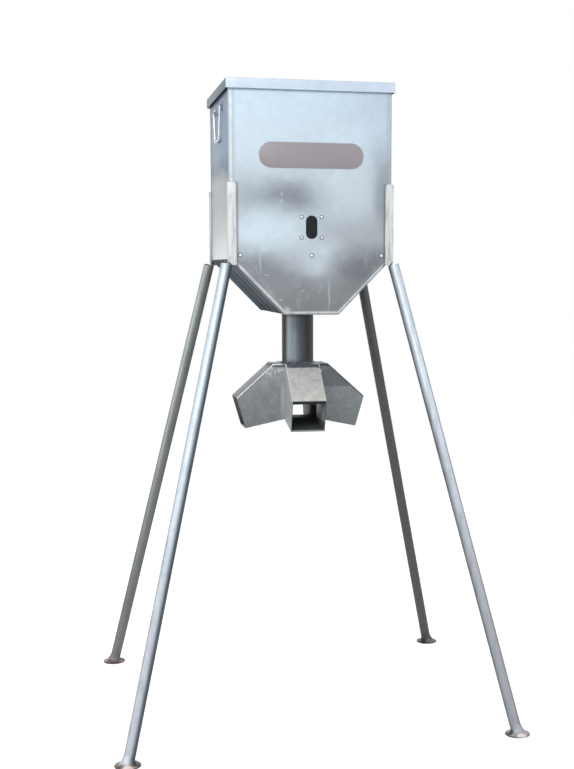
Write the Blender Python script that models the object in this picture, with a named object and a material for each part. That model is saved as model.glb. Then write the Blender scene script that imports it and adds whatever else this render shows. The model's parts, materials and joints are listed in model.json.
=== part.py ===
"""Gravity protein feeder: a sheet-steel hopper on four splayed tube legs, with a four-way feed head.

Metres, +Z up. The origin is on the ground under the middle of the feeder. The front, with the sight
window and the plate, faces -Y.
"""
import math

import bmesh
import bpy
from mathutils import Matrix, Vector

# Fits
GAP = 0.0003                    # between pieces that touch
EDGE = 0.001                    # between a cut edge and what it is fitted into
CUT = 0.02                      # how far a cutter reaches on each side of a sheet
MERGE = 0.00001                 # points closer than this become one

# Hopper
BODY_WIDTH = 0.560
BODY_DEPTH = 0.560
CORNER_HEIGHT = 1.620           # ground to the corners where the walls turn into the funnel
WALL_HEIGHT = 0.595             # corner to the walls' top edge
FUNNEL_HEIGHT = 0.1885          # corner down to the funnel's flat bottom
FUNNEL_BOTTOM_MARGIN = 0.038    # flat bottom beside the down pipe, each side
SHEET = 0.0015
BEND_RADIUS = 0.009             # outside radius of the front and rear panels' folded edges
BEND_STEPS = 3
FLANGE = 0.024                  # depth of those folded edges
SLOPE_FLANGE = 0.025            # slope panel's upturned edge inside the wall
BOTTOM_FLANGE = 0.020           # bottom plate's edges up the slopes
INNER_FLANGE = 0.026            # riveted edge of the inner slopes

# Lid and its hinges
LID_OVERHANG = 0.0095
LID_LIP = 0.034
LID_BEND = 0.003
HINGE_MARGIN = 0.100            # middle of a hinge in from the side wall
HINGE_WIDTH = 0.070
HINGE_LEAF = 0.0015
HINGE_BODY_DROP = 0.030
HINGE_LID_RISE = 0.024
KNUCKLE_RADIUS = 0.004
HINGE_PIN_RADIUS = 0.0020
LEAF_TUCK = 0.0002              # leaf's face inside the knuckle's widest point

# Rivets, sight window and plate
RIVET_HEIGHT = 0.013            # above the corner
RIVET_MARGIN = 0.036            # outer rivets in from the side walls
RIVET_HEAD_RADIUS = 0.0055
RIVET_HEAD = 0.003
RIVET_RADIUS = 0.0024
RIVET_TAIL_RADIUS = 0.004
RIVET_TAIL = 0.002
WINDOW_HEIGHT = 0.108           # slot centre above the corner
SLOT_WIDTH = 0.040
SLOT_LENGTH = 0.079
SCREW_SPACING = 0.069
SCREW_RADIUS = 0.0025
SCREW_HEAD_RADIUS = 0.0046
SCREW_HEAD = 0.003
NUT_RADIUS = 0.0045
NUT = 0.004
WINDOW_MARGIN = 0.010           # window sheet beyond the screws
WINDOW_SHEET = 0.003
PLATE_WIDTH = 0.360
PLATE_HEIGHT = 0.086
PLATE_THICKNESS = 0.0008
PLATE_CENTRE = 0.348            # above the corner

# Legs, their brackets and feet
LEG_OD = 0.0381
LEG_WALL = 0.00165
LEG_OUT = 0.010                 # leg axis outside the side wall, at its top
LEG_IN = 0.012                  # leg axis behind the front face, at its top
LEG_BELOW = 0.018               # leg top below the corner
FOOT_SPAN_X = 1.320             # between foot centres
FOOT_SPAN_Y = 1.144
FOOT_RADIUS = 0.043
FOOT_RIM = 0.004
FOOT_NECK = 0.034               # height where the flare starts
FOOT_STEPS = 5
FOOT_FALL = 1.6                 # how fast the flare comes down, as a power of its length
FOOT_SPREAD = 2.2               # how late it widens, in the same way
FOOT_SPIGOT = 0.025
STUB_REACH = 0.090              # stub inside the leg
STUB_WALL = 0.004
STUB_CUT = 0.15                 # size of the blocks that cut the stub to the hopper
BRACKET_FLANGE = 0.023
BRACKET_THICKNESS = 0.005
BRACKET_RISE = 0.256
BRACKET_DROP = 0.020
BRACKET_CHAMFER = 0.004         # start of the bottom chamfer below the corner
BRACKET_ROUND = 0.012

# Down pipe and feed head
PIPE_OD = 0.1143
PIPE_WALL = 0.003
PIPE_DROP = 0.1825              # funnel bottom to the head's top
PIPE_STAND = 0.004              # pipe above the bottom plate and below the head's cover
HEAD_SHEET = 0.002
SPOUT_MARGIN = 0.00285          # spout beside the pipe, each side
HEAD_SHOULDER = 0.040           # flat top beyond the spout's width
SPOUT_SLOPE_RUN = 0.134
SPOUT_SLOPE_DROP = 0.120
SPOUT_MOUTH_BACK = 0.032        # mouth's lower edge behind its upper edge
SPOUT_MOUTH_DROP = 0.110
SPOUT_FLOOR_RISE = 0.030

# Side handles
HANDLE_BELOW_TOP = 0.068        # pivot below the walls' top edge
HANDLE_SPREAD = 0.190           # between the bail's legs at the pivot
HANDLE_GRIP = 0.115
HANDLE_DROP = 0.112
HANDLE_ROD = 0.004              # radius
HANDLE_BEND = 0.012
EYE_RADIUS = 0.0065
EYE_LENGTH = 0.012
EYE_STAND = 0.0055              # eye axis off the bracket plate
HANDLE_PLATE = 0.002
HANDLE_PLATE_HEIGHT = 0.028
HANDLE_PLATE_MARGIN = 0.014

# Worked out from the sizes above
SEAM = SHEET + GAP
HALF_W = BODY_WIDTH / 2
HALF_D = BODY_DEPTH / 2
WALL_TOP = CORNER_HEIGHT + WALL_HEIGHT
FUNNEL_BOTTOM = CORNER_HEIGHT - FUNNEL_HEIGHT
PIPE_RADIUS = PIPE_OD / 2
HALF_BOTTOM = PIPE_RADIUS + FUNNEL_BOTTOM_MARGIN
SLOPE_RUN = HALF_W - HALF_BOTTOM
SLOPE_LENGTH = math.hypot(SLOPE_RUN, FUNNEL_HEIGHT)
PANEL_HALF_DEPTH = HALF_D - BEND_RADIUS - EDGE
LID_TOP = WALL_TOP + SEAM
LID_EDGE = LID_TOP - LID_LIP
HEAD_TOP = FUNNEL_BOTTOM - PIPE_DROP
HALF_SPOUT = PIPE_RADIUS + SPOUT_MARGIN
FLAT_REACH = HALF_SPOUT + HEAD_SHOULDER
MOUTH_TOP = Vector((FLAT_REACH + SPOUT_SLOPE_RUN, HEAD_TOP - SPOUT_SLOPE_DROP))
MOUTH_FOOT = MOUTH_TOP - Vector((SPOUT_MOUTH_BACK, SPOUT_MOUTH_DROP))
FLOOR_HEIGHT = MOUTH_FOOT.y + SPOUT_FLOOR_RISE
LEG_BORE = LEG_OD / 2 - LEG_WALL
HANDLE_HEIGHT = WALL_TOP - HANDLE_BELOW_TOP
EYE_END = HANDLE_SPREAD / 2 - HANDLE_BEND - EDGE

ROUND = 16                      # sides of small round pieces
PIPE_SIDES = 32
SMOOTH_ANGLE = 35
BEND_POINTS = 4                 # steps round each bend of a handle
CORNERS = (("front_left", -1, -1), ("front_right", 1, -1), ("rear_left", -1, 1), ("rear_right", 1, 1))


def clear_scene():
    for obj in list(bpy.data.objects):
        bpy.data.objects.remove(obj, do_unlink=True)


def material(name, colour, roughness, metallic):
    mat = bpy.data.materials.new(name)
    mat.use_nodes = True
    shader = mat.node_tree.nodes["Principled BSDF"]
    shader.inputs["Base Color"].default_value = (*colour, 1.0)
    shader.inputs["Roughness"].default_value = roughness
    shader.inputs["Metallic"].default_value = metallic
    return mat


def add_object(name, bm, mat, origin=(0, 0, 0)):
    """Turn world-space geometry into an object whose origin is at the given point."""
    bmesh.ops.remove_doubles(bm, verts=bm.verts, dist=MERGE)
    bmesh.ops.recalc_face_normals(bm, faces=bm.faces)
    bmesh.ops.translate(bm, verts=bm.verts, vec=-Vector(origin))
    mesh = bpy.data.meshes.new(name)
    bm.to_mesh(mesh)
    bm.free()
    mesh.materials.append(mat)
    obj = bpy.data.objects.new(name, mesh)
    obj.location = origin
    bpy.context.scene.collection.objects.link(obj)
    return obj


def shade_round(obj):
    obj.data.shade_smooth()
    obj.data.set_sharp_from_angle(angle=math.radians(SMOOTH_ANGLE))


def combine(obj, tools, operation="DIFFERENCE", solver="EXACT"):
    """Cut the tools out of the object, or join them to it, and remove them."""
    for tool in tools:
        modifier = obj.modifiers.new("boolean", "BOOLEAN")
        modifier.operation = operation
        modifier.solver = solver
        modifier.object = tool
    bpy.context.view_layer.update()
    result = obj.evaluated_get(bpy.context.evaluated_depsgraph_get())
    mesh = bpy.data.meshes.new_from_object(result)
    obj.modifiers.clear()
    obj.data = mesh
    for tool in tools:
        bpy.data.objects.remove(tool, do_unlink=True)
    return obj


def prism(outline, axis, low, high):
    """Extrude an outline along X, Y or Z. Its two numbers are the other two axes, in that order."""
    spots = {"X": lambda u, v: (low, u, v), "Y": lambda u, v: (u, low, v), "Z": lambda u, v: (u, v, low)}
    along = {"X": (high - low, 0, 0), "Y": (0, high - low, 0), "Z": (0, 0, high - low)}
    bm = bmesh.new()
    face = bm.faces.new([bm.verts.new(spots[axis](u, v)) for u, v in outline])
    sides = bmesh.ops.extrude_face_region(bm, geom=[face], use_keep_orig=True)
    moved = [item for item in sides["geom"] if isinstance(item, bmesh.types.BMVert)]
    bmesh.ops.translate(bm, verts=moved, vec=along[axis])
    return bm


def box(low, high):
    x0, y0, z0 = low
    x1, y1, z1 = high
    return prism([(x0, y0), (x1, y0), (x1, y1), (x0, y1)], "Z", z0, z1)


def round_solid(profile, sides, centre, axis):
    """Spin a profile of (radius, height) points about an axis that starts at the centre."""
    bm = bmesh.new()
    verts = [bm.verts.new((radius, 0, height)) for radius, height in profile]
    edges = [bm.edges.new(pair) for pair in zip(verts, verts[1:])]
    if profile[0][0] > 0:
        edges.append(bm.edges.new((verts[-1], verts[0])))
    bmesh.ops.spin(bm, geom=verts + edges, cent=(0, 0, 0), axis=(0, 0, 1), angle=math.tau, steps=sides)
    bmesh.ops.remove_doubles(bm, verts=bm.verts, dist=MERGE)
    turn = Vector((0, 0, 1)).rotation_difference(Vector(axis)).to_matrix().to_4x4()
    bmesh.ops.transform(bm, verts=bm.verts, matrix=Matrix.Translation(centre) @ turn)
    return bm


def tube_profile(outer, inner, low, high):
    return [(inner, low), (outer, low), (outer, high), (inner, high)]


def rod_profile(radius, low, high):
    return [(0, low), (radius, low), (radius, high), (0, high)]


def inset_outline(points, insets, closed=True):
    """Move each edge of a counter-clockwise outline inwards by its own distance."""
    count = len(points)
    lines = []
    for index in range(count if closed else count - 1):
        start = Vector(points[index])
        along = (Vector(points[(index + 1) % count]) - start).normalized()
        lines.append((start + Vector((-along.y, along.x)) * insets[index], along))
    result = []
    for index in range(count):
        if not closed and index in (0, count - 1):
            line_start, along = lines[0 if index == 0 else -1]
            result.append(line_start + along * (Vector(points[index]) - line_start).dot(along))
            continue
        (a, u), (b, v) = lines[index - 1], lines[index % len(lines)]
        result.append(a + u * ((b - a).cross(v) / u.cross(v)))
    return result


def fold_section(radius, depth, sheet, steps):
    """Section of a folded edge as (inset, depth) points: the outer skin, then the inner skin back."""
    angles = [math.pi / 2 * step / steps for step in range(steps + 1)]
    outer = [(radius - radius * math.sin(a), radius - radius * math.cos(a)) for a in angles]
    small = radius - sheet
    inner = [(radius - small * math.sin(a), radius - small * math.cos(a)) for a in reversed(angles)]
    return outer + [(0, depth), (sheet, depth)] + inner


def folded_pan(outline, section, place, closed):
    """A flat sheet with its edges folded back along an outline, open along one side or all round."""
    bm = bmesh.new()
    rows = []
    for inset, depth in section:
        loop = inset_outline(outline, [inset] * len(outline), closed)
        rows.append([bm.verts.new(place(u, v, depth)) for u, v in loop])
    count = len(outline)
    for row, following in zip(rows, rows[1:]):
        for index in range(count if closed else count - 1):
            step = (index + 1) % count
            bm.faces.new((row[index], row[step], following[step], following[index]))
    bm.faces.new(rows[0])
    bm.faces.new(rows[-1])
    if not closed:
        bm.faces.new((rows[0][0], rows[0][-1], rows[-1][-1], rows[-1][0]))
        bm.faces.new([row[0] for row in rows])
        bm.faces.new([row[-1] for row in rows])
    return bm


def folded_sheet(faces, thickness):
    """Give thickness to flat faces that share fold edges, on the side away from their normals."""
    bm = bmesh.new()
    for corners in faces:
        bm.faces.new([bm.verts.new(corner) for corner in corners])
    bmesh.ops.remove_doubles(bm, verts=bm.verts, dist=MERGE)
    mesh = bpy.data.meshes.new("sheet")
    bm.to_mesh(mesh)
    bm.free()
    obj = bpy.data.objects.new("sheet", mesh)
    bpy.context.scene.collection.objects.link(obj)
    solidify = obj.modifiers.new("thickness", "SOLIDIFY")
    solidify.thickness = thickness
    solidify.offset = -1
    solidify.use_even_offset = True
    solidify.use_quality_normals = True
    bpy.context.view_layer.update()
    result = obj.evaluated_get(bpy.context.evaluated_depsgraph_get())
    bm = bmesh.new()
    bm.from_mesh(result.to_mesh())
    bpy.data.objects.remove(obj, do_unlink=True)
    return bm


def trim(bm, point, normal):
    """Cut away all that lies beyond a plane, and close the cut."""
    geometry = bm.verts[:] + bm.edges[:] + bm.faces[:]
    cut = bmesh.ops.bisect_plane(bm, geom=geometry, plane_co=point, plane_no=normal, clear_outer=True)
    edges = [item for item in cut["geom_cut"] if isinstance(item, bmesh.types.BMEdge)]
    bmesh.ops.edgenet_fill(bm, edges=edges)


def slope_height(x, offset):
    """Height of the funnel's side, moved inwards by an offset, at a distance from the middle."""
    return CORNER_HEIGHT - (HALF_W - x) * FUNNEL_HEIGHT / SLOPE_RUN + offset * SLOPE_LENGTH / SLOPE_RUN


def slope_reach(height, offset):
    """Distance from the middle at which the funnel's side, moved inwards, has a height."""
    drop = CORNER_HEIGHT - height + offset * SLOPE_LENGTH / SLOPE_RUN
    return HALF_W - drop * SLOPE_RUN / FUNNEL_HEIGHT


def face_panel(name, side, mat):
    """Front (side -1) or rear (side 1) panel, with its edges folded back round the walls and funnel."""
    outline = [(-HALF_W, WALL_TOP), (-HALF_W, CORNER_HEIGHT), (-HALF_BOTTOM, FUNNEL_BOTTOM),
               (HALF_BOTTOM, FUNNEL_BOTTOM), (HALF_W, CORNER_HEIGHT), (HALF_W, WALL_TOP)]
    section = fold_section(BEND_RADIUS, FLANGE, SHEET, BEND_STEPS)
    bm = folded_pan(outline, section, lambda x, z, depth: (x, side * (HALF_D - depth), z), closed=False)
    return add_object(name, bm, mat)


def side_panel(name, side, mat):
    outer = side * (HALF_W - SEAM)
    inner = side * (HALF_W - SEAM - SHEET)
    foot = slope_height(HALF_W - SEAM, SEAM)
    bm = box((min(outer, inner), -PANEL_HALF_DEPTH, foot), (max(outer, inner), PANEL_HALF_DEPTH, WALL_TOP))
    return add_object(name, bm, mat)


def slope_panel(name, side, mat):
    """Funnel side: a sloped sheet whose upper edge stands up inside the wall."""
    section = []
    for x, offset in ((HALF_W - 2 * SEAM, SEAM), (HALF_W - 2 * SEAM - SHEET, SEAM + SHEET)):
        foot = FUNNEL_BOTTOM + SEAM
        line = [(x, CORNER_HEIGHT + SLOPE_FLANGE), (x, slope_height(x, offset)),
                (slope_reach(foot, offset), foot)]
        section += line if not section else line[::-1]
    outline = [(side * x, z) for x, z in section]
    return add_object(name, prism(outline, "Y", -PANEL_HALF_DEPTH, PANEL_HALF_DEPTH), mat)


def bottom_plate(mat):
    """Flat bottom with its ends turned up along the slopes, and the hole for the down pipe."""
    top = FUNNEL_BOTTOM + BOTTOM_FLANGE
    low = FUNNEL_BOTTOM + SEAM
    right = [(slope_reach(low, 2 * SEAM), low), (slope_reach(top, 2 * SEAM), top),
             (slope_reach(top, 2 * SEAM + SHEET), top),
             (slope_reach(low + SHEET, 2 * SEAM + SHEET), low + SHEET)]
    outline = right + [(-x, z) for x, z in reversed(right)]
    plate = add_object("bottom_plate", prism(outline, "Y", -PANEL_HALF_DEPTH, PANEL_HALF_DEPTH), mat)
    hole = round_solid(rod_profile(PIPE_RADIUS + GAP, -CUT, CUT), PIPE_SIDES, (0, 0, low), (0, 0, 1))
    return combine(plate, [add_object("pipe_hole", hole, mat)])


def inner_slope(name, side, mat):
    """Slope inside the hopper, riveted to the front or rear panel, that leads feed to the pipe."""
    bend = CORNER_HEIGHT + RIVET_HEIGHT - INNER_FLANGE / 2
    face = HALF_D - SHEET - GAP
    foot = FUNNEL_BOTTOM + SEAM + SHEET + GAP
    reach = Vector((face - SHEET - PIPE_RADIUS - EDGE, bend - foot))
    lean = reach.length / reach.x
    section = [(face, bend + INNER_FLANGE), (face - SHEET, bend + INNER_FLANGE), (face - SHEET, bend),
               (PIPE_RADIUS + EDGE, foot), (PIPE_RADIUS + EDGE + SHEET * reach.length / reach.y, foot),
               (face, bend - SHEET * lean + SHEET * reach.y / reach.x)]
    half = HALF_W - BEND_RADIUS - EDGE
    bm = prism([(side * y, z) for y, z in section], "X", -half, half)
    offset = max(BEND_RADIUS, 2 * SEAM + SHEET) + EDGE
    for end in (-1, 1):
        edge = Vector((end * slope_reach(foot, offset), 0, foot))
        trim(bm, edge, Vector((end * FUNNEL_HEIGHT, 0, -SLOPE_RUN)))
    return add_object(name, bm, mat)


def drill(panel, spots, radius, mat):
    """Bore round holes along Y at (x, y, z) spots."""
    tools = []
    for index, spot in enumerate(spots):
        bm = round_solid(rod_profile(radius, -CUT, CUT), ROUND, spot, (0, 1, 0))
        tools.append(add_object(f"drill_{index}", bm, mat))
    return combine(panel, tools, "DIFFERENCE", "MANIFOLD")


def stadium(width, height, centre_z, steps=8):
    """Outline with round ends, in x and z."""
    radius = min(width, height) / 2
    reach_x = width / 2 - radius
    reach_z = height / 2 - radius
    points = []
    for quarter, (side_x, side_z) in enumerate(((1, 1), (-1, 1), (-1, -1), (1, -1))):
        for step in range(steps + 1):
            angle = math.pi / 2 * (quarter + step / steps)
            point = (side_x * reach_x + radius * math.cos(angle),
                     centre_z + side_z * reach_z + radius * math.sin(angle))
            if not points or (Vector(point) - Vector(points[-1])).length > MERGE:
                points.append(point)
    return points if (Vector(points[0]) - Vector(points[-1])).length > MERGE else points[:-1]


def rivet_spots(side):
    reach = HALF_W - RIVET_MARGIN
    return [(x, side * HALF_D, CORNER_HEIGHT + RIVET_HEIGHT) for x in (-reach, 0, reach)]


def screw_spots():
    half = SCREW_SPACING / 2
    middle = CORNER_HEIGHT + WINDOW_HEIGHT
    return [(x, -HALF_D, middle + z) for z in (half, -half) for x in (-half, half)]


def fastener(name, spot, side, head, shank, tail, grip, mat):
    """Round-headed fastener through sheets of a total grip. Head and tail are (radius, height) pairs."""
    head_radius, head_height = head
    tail_radius, tail_height = tail
    profile = [(0, -tail_height - grip - GAP), (tail_radius, -tail_height - grip - GAP),
               (tail_radius, -grip - GAP), (shank, -grip - GAP), (shank, GAP), (head_radius, GAP)]
    for step in range(1, 4):
        angle = math.pi / 2 * step / 3
        profile.append((head_radius * math.cos(angle), GAP + head_height * math.sin(angle)))
    profile[-1] = (0, GAP + head_height)
    obj = add_object(name, round_solid(profile, ROUND, spot, (0, side, 0)), mat, origin=spot)
    shade_round(obj)


def make_hopper(sheet, plate_mat, clear_plastic, zinc):
    front = face_panel("front_panel", -1, sheet)
    rear = face_panel("rear_panel", 1, sheet)
    for name, side in (("left", -1), ("right", 1)):
        side_panel(f"{name}_side_panel", side, sheet)
        slope_panel(f"{name}_slope_panel", side, sheet)
    bottom_plate(sheet)
    for name, side, panel in (("front", -1, front), ("rear", 1, rear)):
        slope = inner_slope(f"{name}_inner_slope", side, sheet)
        drill(slope, rivet_spots(side), RIVET_RADIUS + GAP, sheet)
        drill(panel, rivet_spots(side), RIVET_RADIUS + GAP, sheet)
        for index, spot in enumerate(rivet_spots(side)):
            fastener(f"{name}_rivet_{index + 1}", spot, side, (RIVET_HEAD_RADIUS, RIVET_HEAD), RIVET_RADIUS,
                     (RIVET_TAIL_RADIUS, RIVET_TAIL), 2 * SHEET + GAP, zinc)
    middle = CORNER_HEIGHT + WINDOW_HEIGHT
    slot = prism(stadium(SLOT_WIDTH, SLOT_LENGTH, middle), "Y", -HALF_D - CUT, -HALF_D + CUT)
    combine(front, [add_object("slot", slot, sheet)], "DIFFERENCE", "MANIFOLD")
    drill(front, screw_spots(), SCREW_RADIUS + GAP, sheet)
    half = SCREW_SPACING / 2 + WINDOW_MARGIN
    face = -HALF_D + SHEET + GAP
    window = box((-half, face, middle - half), (half, face + WINDOW_SHEET, middle + half))
    window = add_object("sight_window", window, clear_plastic)
    drill(window, screw_spots(), SCREW_RADIUS + GAP, clear_plastic)
    for index, spot in enumerate(screw_spots()):
        fastener(f"window_screw_{index + 1}", spot, -1, (SCREW_HEAD_RADIUS, SCREW_HEAD), SCREW_RADIUS,
                 (NUT_RADIUS, NUT), SHEET + GAP + WINDOW_SHEET, zinc)
    outline = stadium(PLATE_WIDTH, PLATE_HEIGHT, CORNER_HEIGHT + PLATE_CENTRE)
    plate = prism(outline, "Y", -HALF_D - GAP - PLATE_THICKNESS, -HALF_D - GAP)
    add_object("badge_plate", plate, plate_mat)


def knuckle(start, end, axis_y, axis_z, radius, mat):
    """Round piece of a hinge, along X from a start to an end."""
    bm = round_solid(rod_profile(radius, 0, end - start), ROUND, (start, axis_y, axis_z), (1, 0, 0))
    return add_object("knuckle", bm, mat)


def make_hinge(name, middle, axis_y, axis_z, zinc):
    """Butt hinge: the lid's leaf has the middle knuckle, and the hopper's leaf the two outer ones."""
    low, high = middle - HINGE_WIDTH / 2, middle + HINGE_WIDTH / 2
    low_joint, high_joint = low + HINGE_WIDTH / 3, high - HINGE_WIDTH / 3
    inside = axis_y - KNUCKLE_RADIUS + LEAF_TUCK
    shelf = axis_z - KNUCKLE_RADIUS + LEAF_TUCK
    wall = HALF_D + GAP
    foot = shelf - HINGE_BODY_DROP
    crest = LID_EDGE + HINGE_LID_RISE
    lid_section = [(inside, axis_z), (inside + HINGE_LEAF, axis_z), (inside + HINGE_LEAF, crest),
                   (inside, crest)]
    body_section = [(wall, shelf + HINGE_LEAF), (wall, foot), (wall + HINGE_LEAF, foot),
                    (wall + HINGE_LEAF, shelf), (axis_y, shelf), (axis_y, shelf + HINGE_LEAF)]
    lid_leaf = add_object(f"{name}_hinge_lid_leaf", prism(lid_section, "X", low, high), zinc)
    middle_knuckle = knuckle(low_joint, high_joint, axis_y, axis_z, KNUCKLE_RADIUS, zinc)
    combine(lid_leaf, [middle_knuckle], "UNION", "MANIFOLD")
    body_leaf = add_object(f"{name}_hinge_body_leaf", prism(body_section, "X", low, high), zinc)
    outer_knuckles = [knuckle(start, end, axis_y, axis_z, KNUCKLE_RADIUS, zinc)
                      for start, end in ((low, low_joint), (high_joint, high))]
    combine(body_leaf, outer_knuckles, "UNION")

    clear = KNUCKLE_RADIUS + GAP
    rooms = [box((start, axis_y - clear, axis_z - clear), (end, axis_y + clear, axis_z + clear))
             for start, end in ((low_joint - GAP, high_joint + GAP), (low - EDGE, low_joint + GAP),
                                (high_joint - GAP, high + EDGE))]
    body_room, *lid_rooms = [add_object("room", room, zinc) for room in rooms]
    bores = [knuckle(low - EDGE, high + EDGE, axis_y, axis_z, HINGE_PIN_RADIUS + GAP, zinc)
             for _ in range(2)]
    combine(body_leaf, [body_room, bores[0]])
    combine(lid_leaf, [bores[1], *lid_rooms], "DIFFERENCE", "MANIFOLD")

    profile = [(0, -EDGE - GAP), (KNUCKLE_RADIUS - EDGE, -EDGE - GAP), (KNUCKLE_RADIUS - EDGE, -GAP),
               (HINGE_PIN_RADIUS, -GAP), (HINGE_PIN_RADIUS, HINGE_WIDTH), (0, HINGE_WIDTH)]
    pin = round_solid(profile, ROUND, (low, axis_y, axis_z), (1, 0, 0))
    shade_round(add_object(f"{name}_hinge_pin", pin, zinc))


def make_lid(sheet, zinc):
    half_x = HALF_W + LID_OVERHANG
    half_y = HALF_D + LID_OVERHANG
    axis_y = half_y + GAP + KNUCKLE_RADIUS
    axis_z = LID_EDGE - EDGE - KNUCKLE_RADIUS
    outline = [(-half_x, -half_y), (half_x, -half_y), (half_x, half_y), (-half_x, half_y)]
    section = fold_section(LID_BEND, LID_LIP, SHEET, 2)
    bm = folded_pan(outline, section, lambda x, y, depth: (x, y, LID_TOP - depth), closed=True)
    add_object("lid", bm, sheet, origin=(0, axis_y, axis_z))
    make_hinge("left", HINGE_MARGIN - HALF_W, axis_y, axis_z, zinc)
    make_hinge("right", HALF_W - HINGE_MARGIN, axis_y, axis_z, zinc)


def corner_bracket(name, side_x, side_y, mat):
    """Angle piece on a vertical corner, cut back at its foot to clear the leg's top."""
    inner = GAP
    outer = GAP + BRACKET_THICKNESS
    flange = [(HALF_W + outer, HALF_D + outer), (HALF_W - BRACKET_FLANGE, HALF_D + outer),
              (HALF_W - BRACKET_FLANGE, HALF_D + inner), (HALF_W + inner, HALF_D + inner),
              (HALF_W + inner, HALF_D - BRACKET_FLANGE), (HALF_W + outer, HALF_D - BRACKET_FLANGE)]
    top = CORNER_HEIGHT + BRACKET_RISE
    bm = prism(flange, "Z", CORNER_HEIGHT - BRACKET_DROP, top)
    trim(bm, Vector((HALF_W + outer, HALF_D + outer, CORNER_HEIGHT - BRACKET_CHAMFER)), Vector((1, 1, -1)))
    for step in range(1, 4):
        angle = math.pi / 2 * step / 4
        lean, rise = math.cos(angle), math.sin(angle)
        centre = Vector((-lean, rise)) * BRACKET_ROUND
        height = top - BRACKET_ROUND + centre.y
        across = BRACKET_ROUND - BRACKET_FLANGE + centre.x
        trim(bm, Vector((HALF_W + across, 0, height)), Vector((-lean, 0, rise)))
        trim(bm, Vector((0, HALF_D + across, height)), Vector((0, -lean, rise)))
    bmesh.ops.scale(bm, vec=(side_x, side_y, 1), verts=bm.verts)
    return add_object(name, bm, mat)


def leg_line(side_x, side_y):
    """Top of a leg's axis and the middle of its foot."""
    top = Vector((side_x * (HALF_W + LEG_OUT), side_y * (HALF_D - LEG_IN), CORNER_HEIGHT - LEG_BELOW))
    foot = Vector((side_x * FOOT_SPAN_X / 2, side_y * FOOT_SPAN_Y / 2, 0))
    return top, foot


def leg_stub(name, side_x, side_y, mat):
    """Short tube under the corner that the leg slips over, cut to the funnel's slope."""
    top, foot = leg_line(side_x, side_y)
    up = (top - foot).normalized()
    outer = LEG_BORE - GAP
    profile = tube_profile(outer, outer - STUB_WALL, -STUB_REACH, LEG_OD)
    stub = add_object(name, round_solid(profile, ROUND, top, up), mat)
    far = STUB_CUT
    level = CORNER_HEIGHT - BRACKET_DROP - EDGE
    reach = HALF_W - far
    beyond = HALF_W + far
    slab = [(side_x * reach, slope_height(reach, -GAP)), (side_x * beyond, slope_height(beyond, -GAP)),
            (side_x * beyond, CORNER_HEIGHT + 2 * far), (side_x * reach, CORNER_HEIGHT + 2 * far)]
    tools = [prism(slab, "Y", *sorted((0, side_y * (HALF_D + far))))]
    beside = sorted((side_x * (HALF_W - EDGE), side_x * beyond))
    ahead = sorted((side_y * (HALF_D - EDGE), side_y * (HALF_D + far)))
    tools.append(box((beside[0], -HALF_D - far, level), (beside[1], HALF_D + far, CORNER_HEIGHT + far)))
    tools.append(box((-beyond, ahead[0], level), (beyond, ahead[1], CORNER_HEIGHT + far)))
    combine(stub, [add_object(f"stub_cut_{index}", bm, mat) for index, bm in enumerate(tools)])
    shade_round(stub)


def foot_solid(name, side_x, side_y, mat):
    """Flared foot: a spigot in the leg's end, a flare from the leg's slant to a level round pad."""
    top, foot = leg_line(side_x, side_y)
    up = (top - foot).normalized()
    neck = foot + up * (FOOT_NECK / up.z)
    spigot = LEG_BORE - GAP
    rings = [(neck + up * FOOT_SPIGOT, up, spigot), (neck - up * GAP, up, spigot),
             (neck - up * GAP, up, LEG_OD / 2)]
    for step in range(1, FOOT_STEPS + 1):
        share = step / FOOT_STEPS
        height = FOOT_RIM + (FOOT_NECK - FOOT_RIM) * (1 - share) ** FOOT_FALL
        radius = LEG_OD / 2 + (FOOT_RADIUS - EDGE - LEG_OD / 2) * share ** FOOT_SPREAD
        tilt = up.lerp(Vector((0, 0, 1)), share).normalized()
        centre = foot + up * (height / up.z) * (1 - share) + Vector((0, 0, height)) * share
        rings.append((centre, tilt, radius))
    rings.append((foot + Vector((0, 0, FOOT_RIM - EDGE)), Vector((0, 0, 1)), FOOT_RADIUS))
    rings.append((foot.copy(), Vector((0, 0, 1)), FOOT_RADIUS))
    bm = bmesh.new()
    loops = []
    for centre, normal, radius in rings:
        turn = Vector((0, 0, 1)).rotation_difference(normal).to_matrix()
        points = [Vector((math.cos(math.tau * i / ROUND), math.sin(math.tau * i / ROUND), 0)) * radius
                  for i in range(ROUND)]
        loops.append([bm.verts.new(centre + turn @ point) for point in points])
    for loop, following in zip(loops, loops[1:]):
        for i in range(ROUND):
            j = (i + 1) % ROUND
            bm.faces.new((loop[i], loop[j], following[j], following[i]))
    bm.faces.new(loops[0])
    bm.faces.new(loops[-1])
    shade_round(add_object(name, bm, mat, origin=foot))


def make_legs(bracket, tube):
    for name, side_x, side_y in CORNERS:
        corner_bracket(f"{name}_bracket", side_x, side_y, bracket)
        leg_stub(f"{name}_stub", side_x, side_y, tube)
        top, foot = leg_line(side_x, side_y)
        up = (top - foot).normalized()
        length = (top - foot).length - FOOT_NECK / up.z
        leg = round_solid(tube_profile(LEG_OD / 2, LEG_BORE, -length, 0), ROUND, top, up)
        shade_round(add_object(f"{name}_leg", leg, tube, origin=top))
        foot_solid(f"{name}_foot", side_x, side_y, tube)


def cross_faces(half, reaches):
    """Faces of a cross-shaped sheet: a square, and arms through (reach, height) points."""
    height = reaches[0][1]
    faces = [[(-half, -half, height), (half, -half, height), (half, half, height), (-half, half, height)]]
    for turn in range(4):
        spin = Matrix.Rotation(math.pi / 2 * turn, 3, "Z")
        for (near, near_z), (far, far_z) in zip(reaches, reaches[1:]):
            arm = [(near, -half, near_z), (far, -half, far_z), (far, half, far_z), (near, half, near_z)]
            faces.append([spin @ Vector(point) for point in arm])
    return faces


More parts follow.
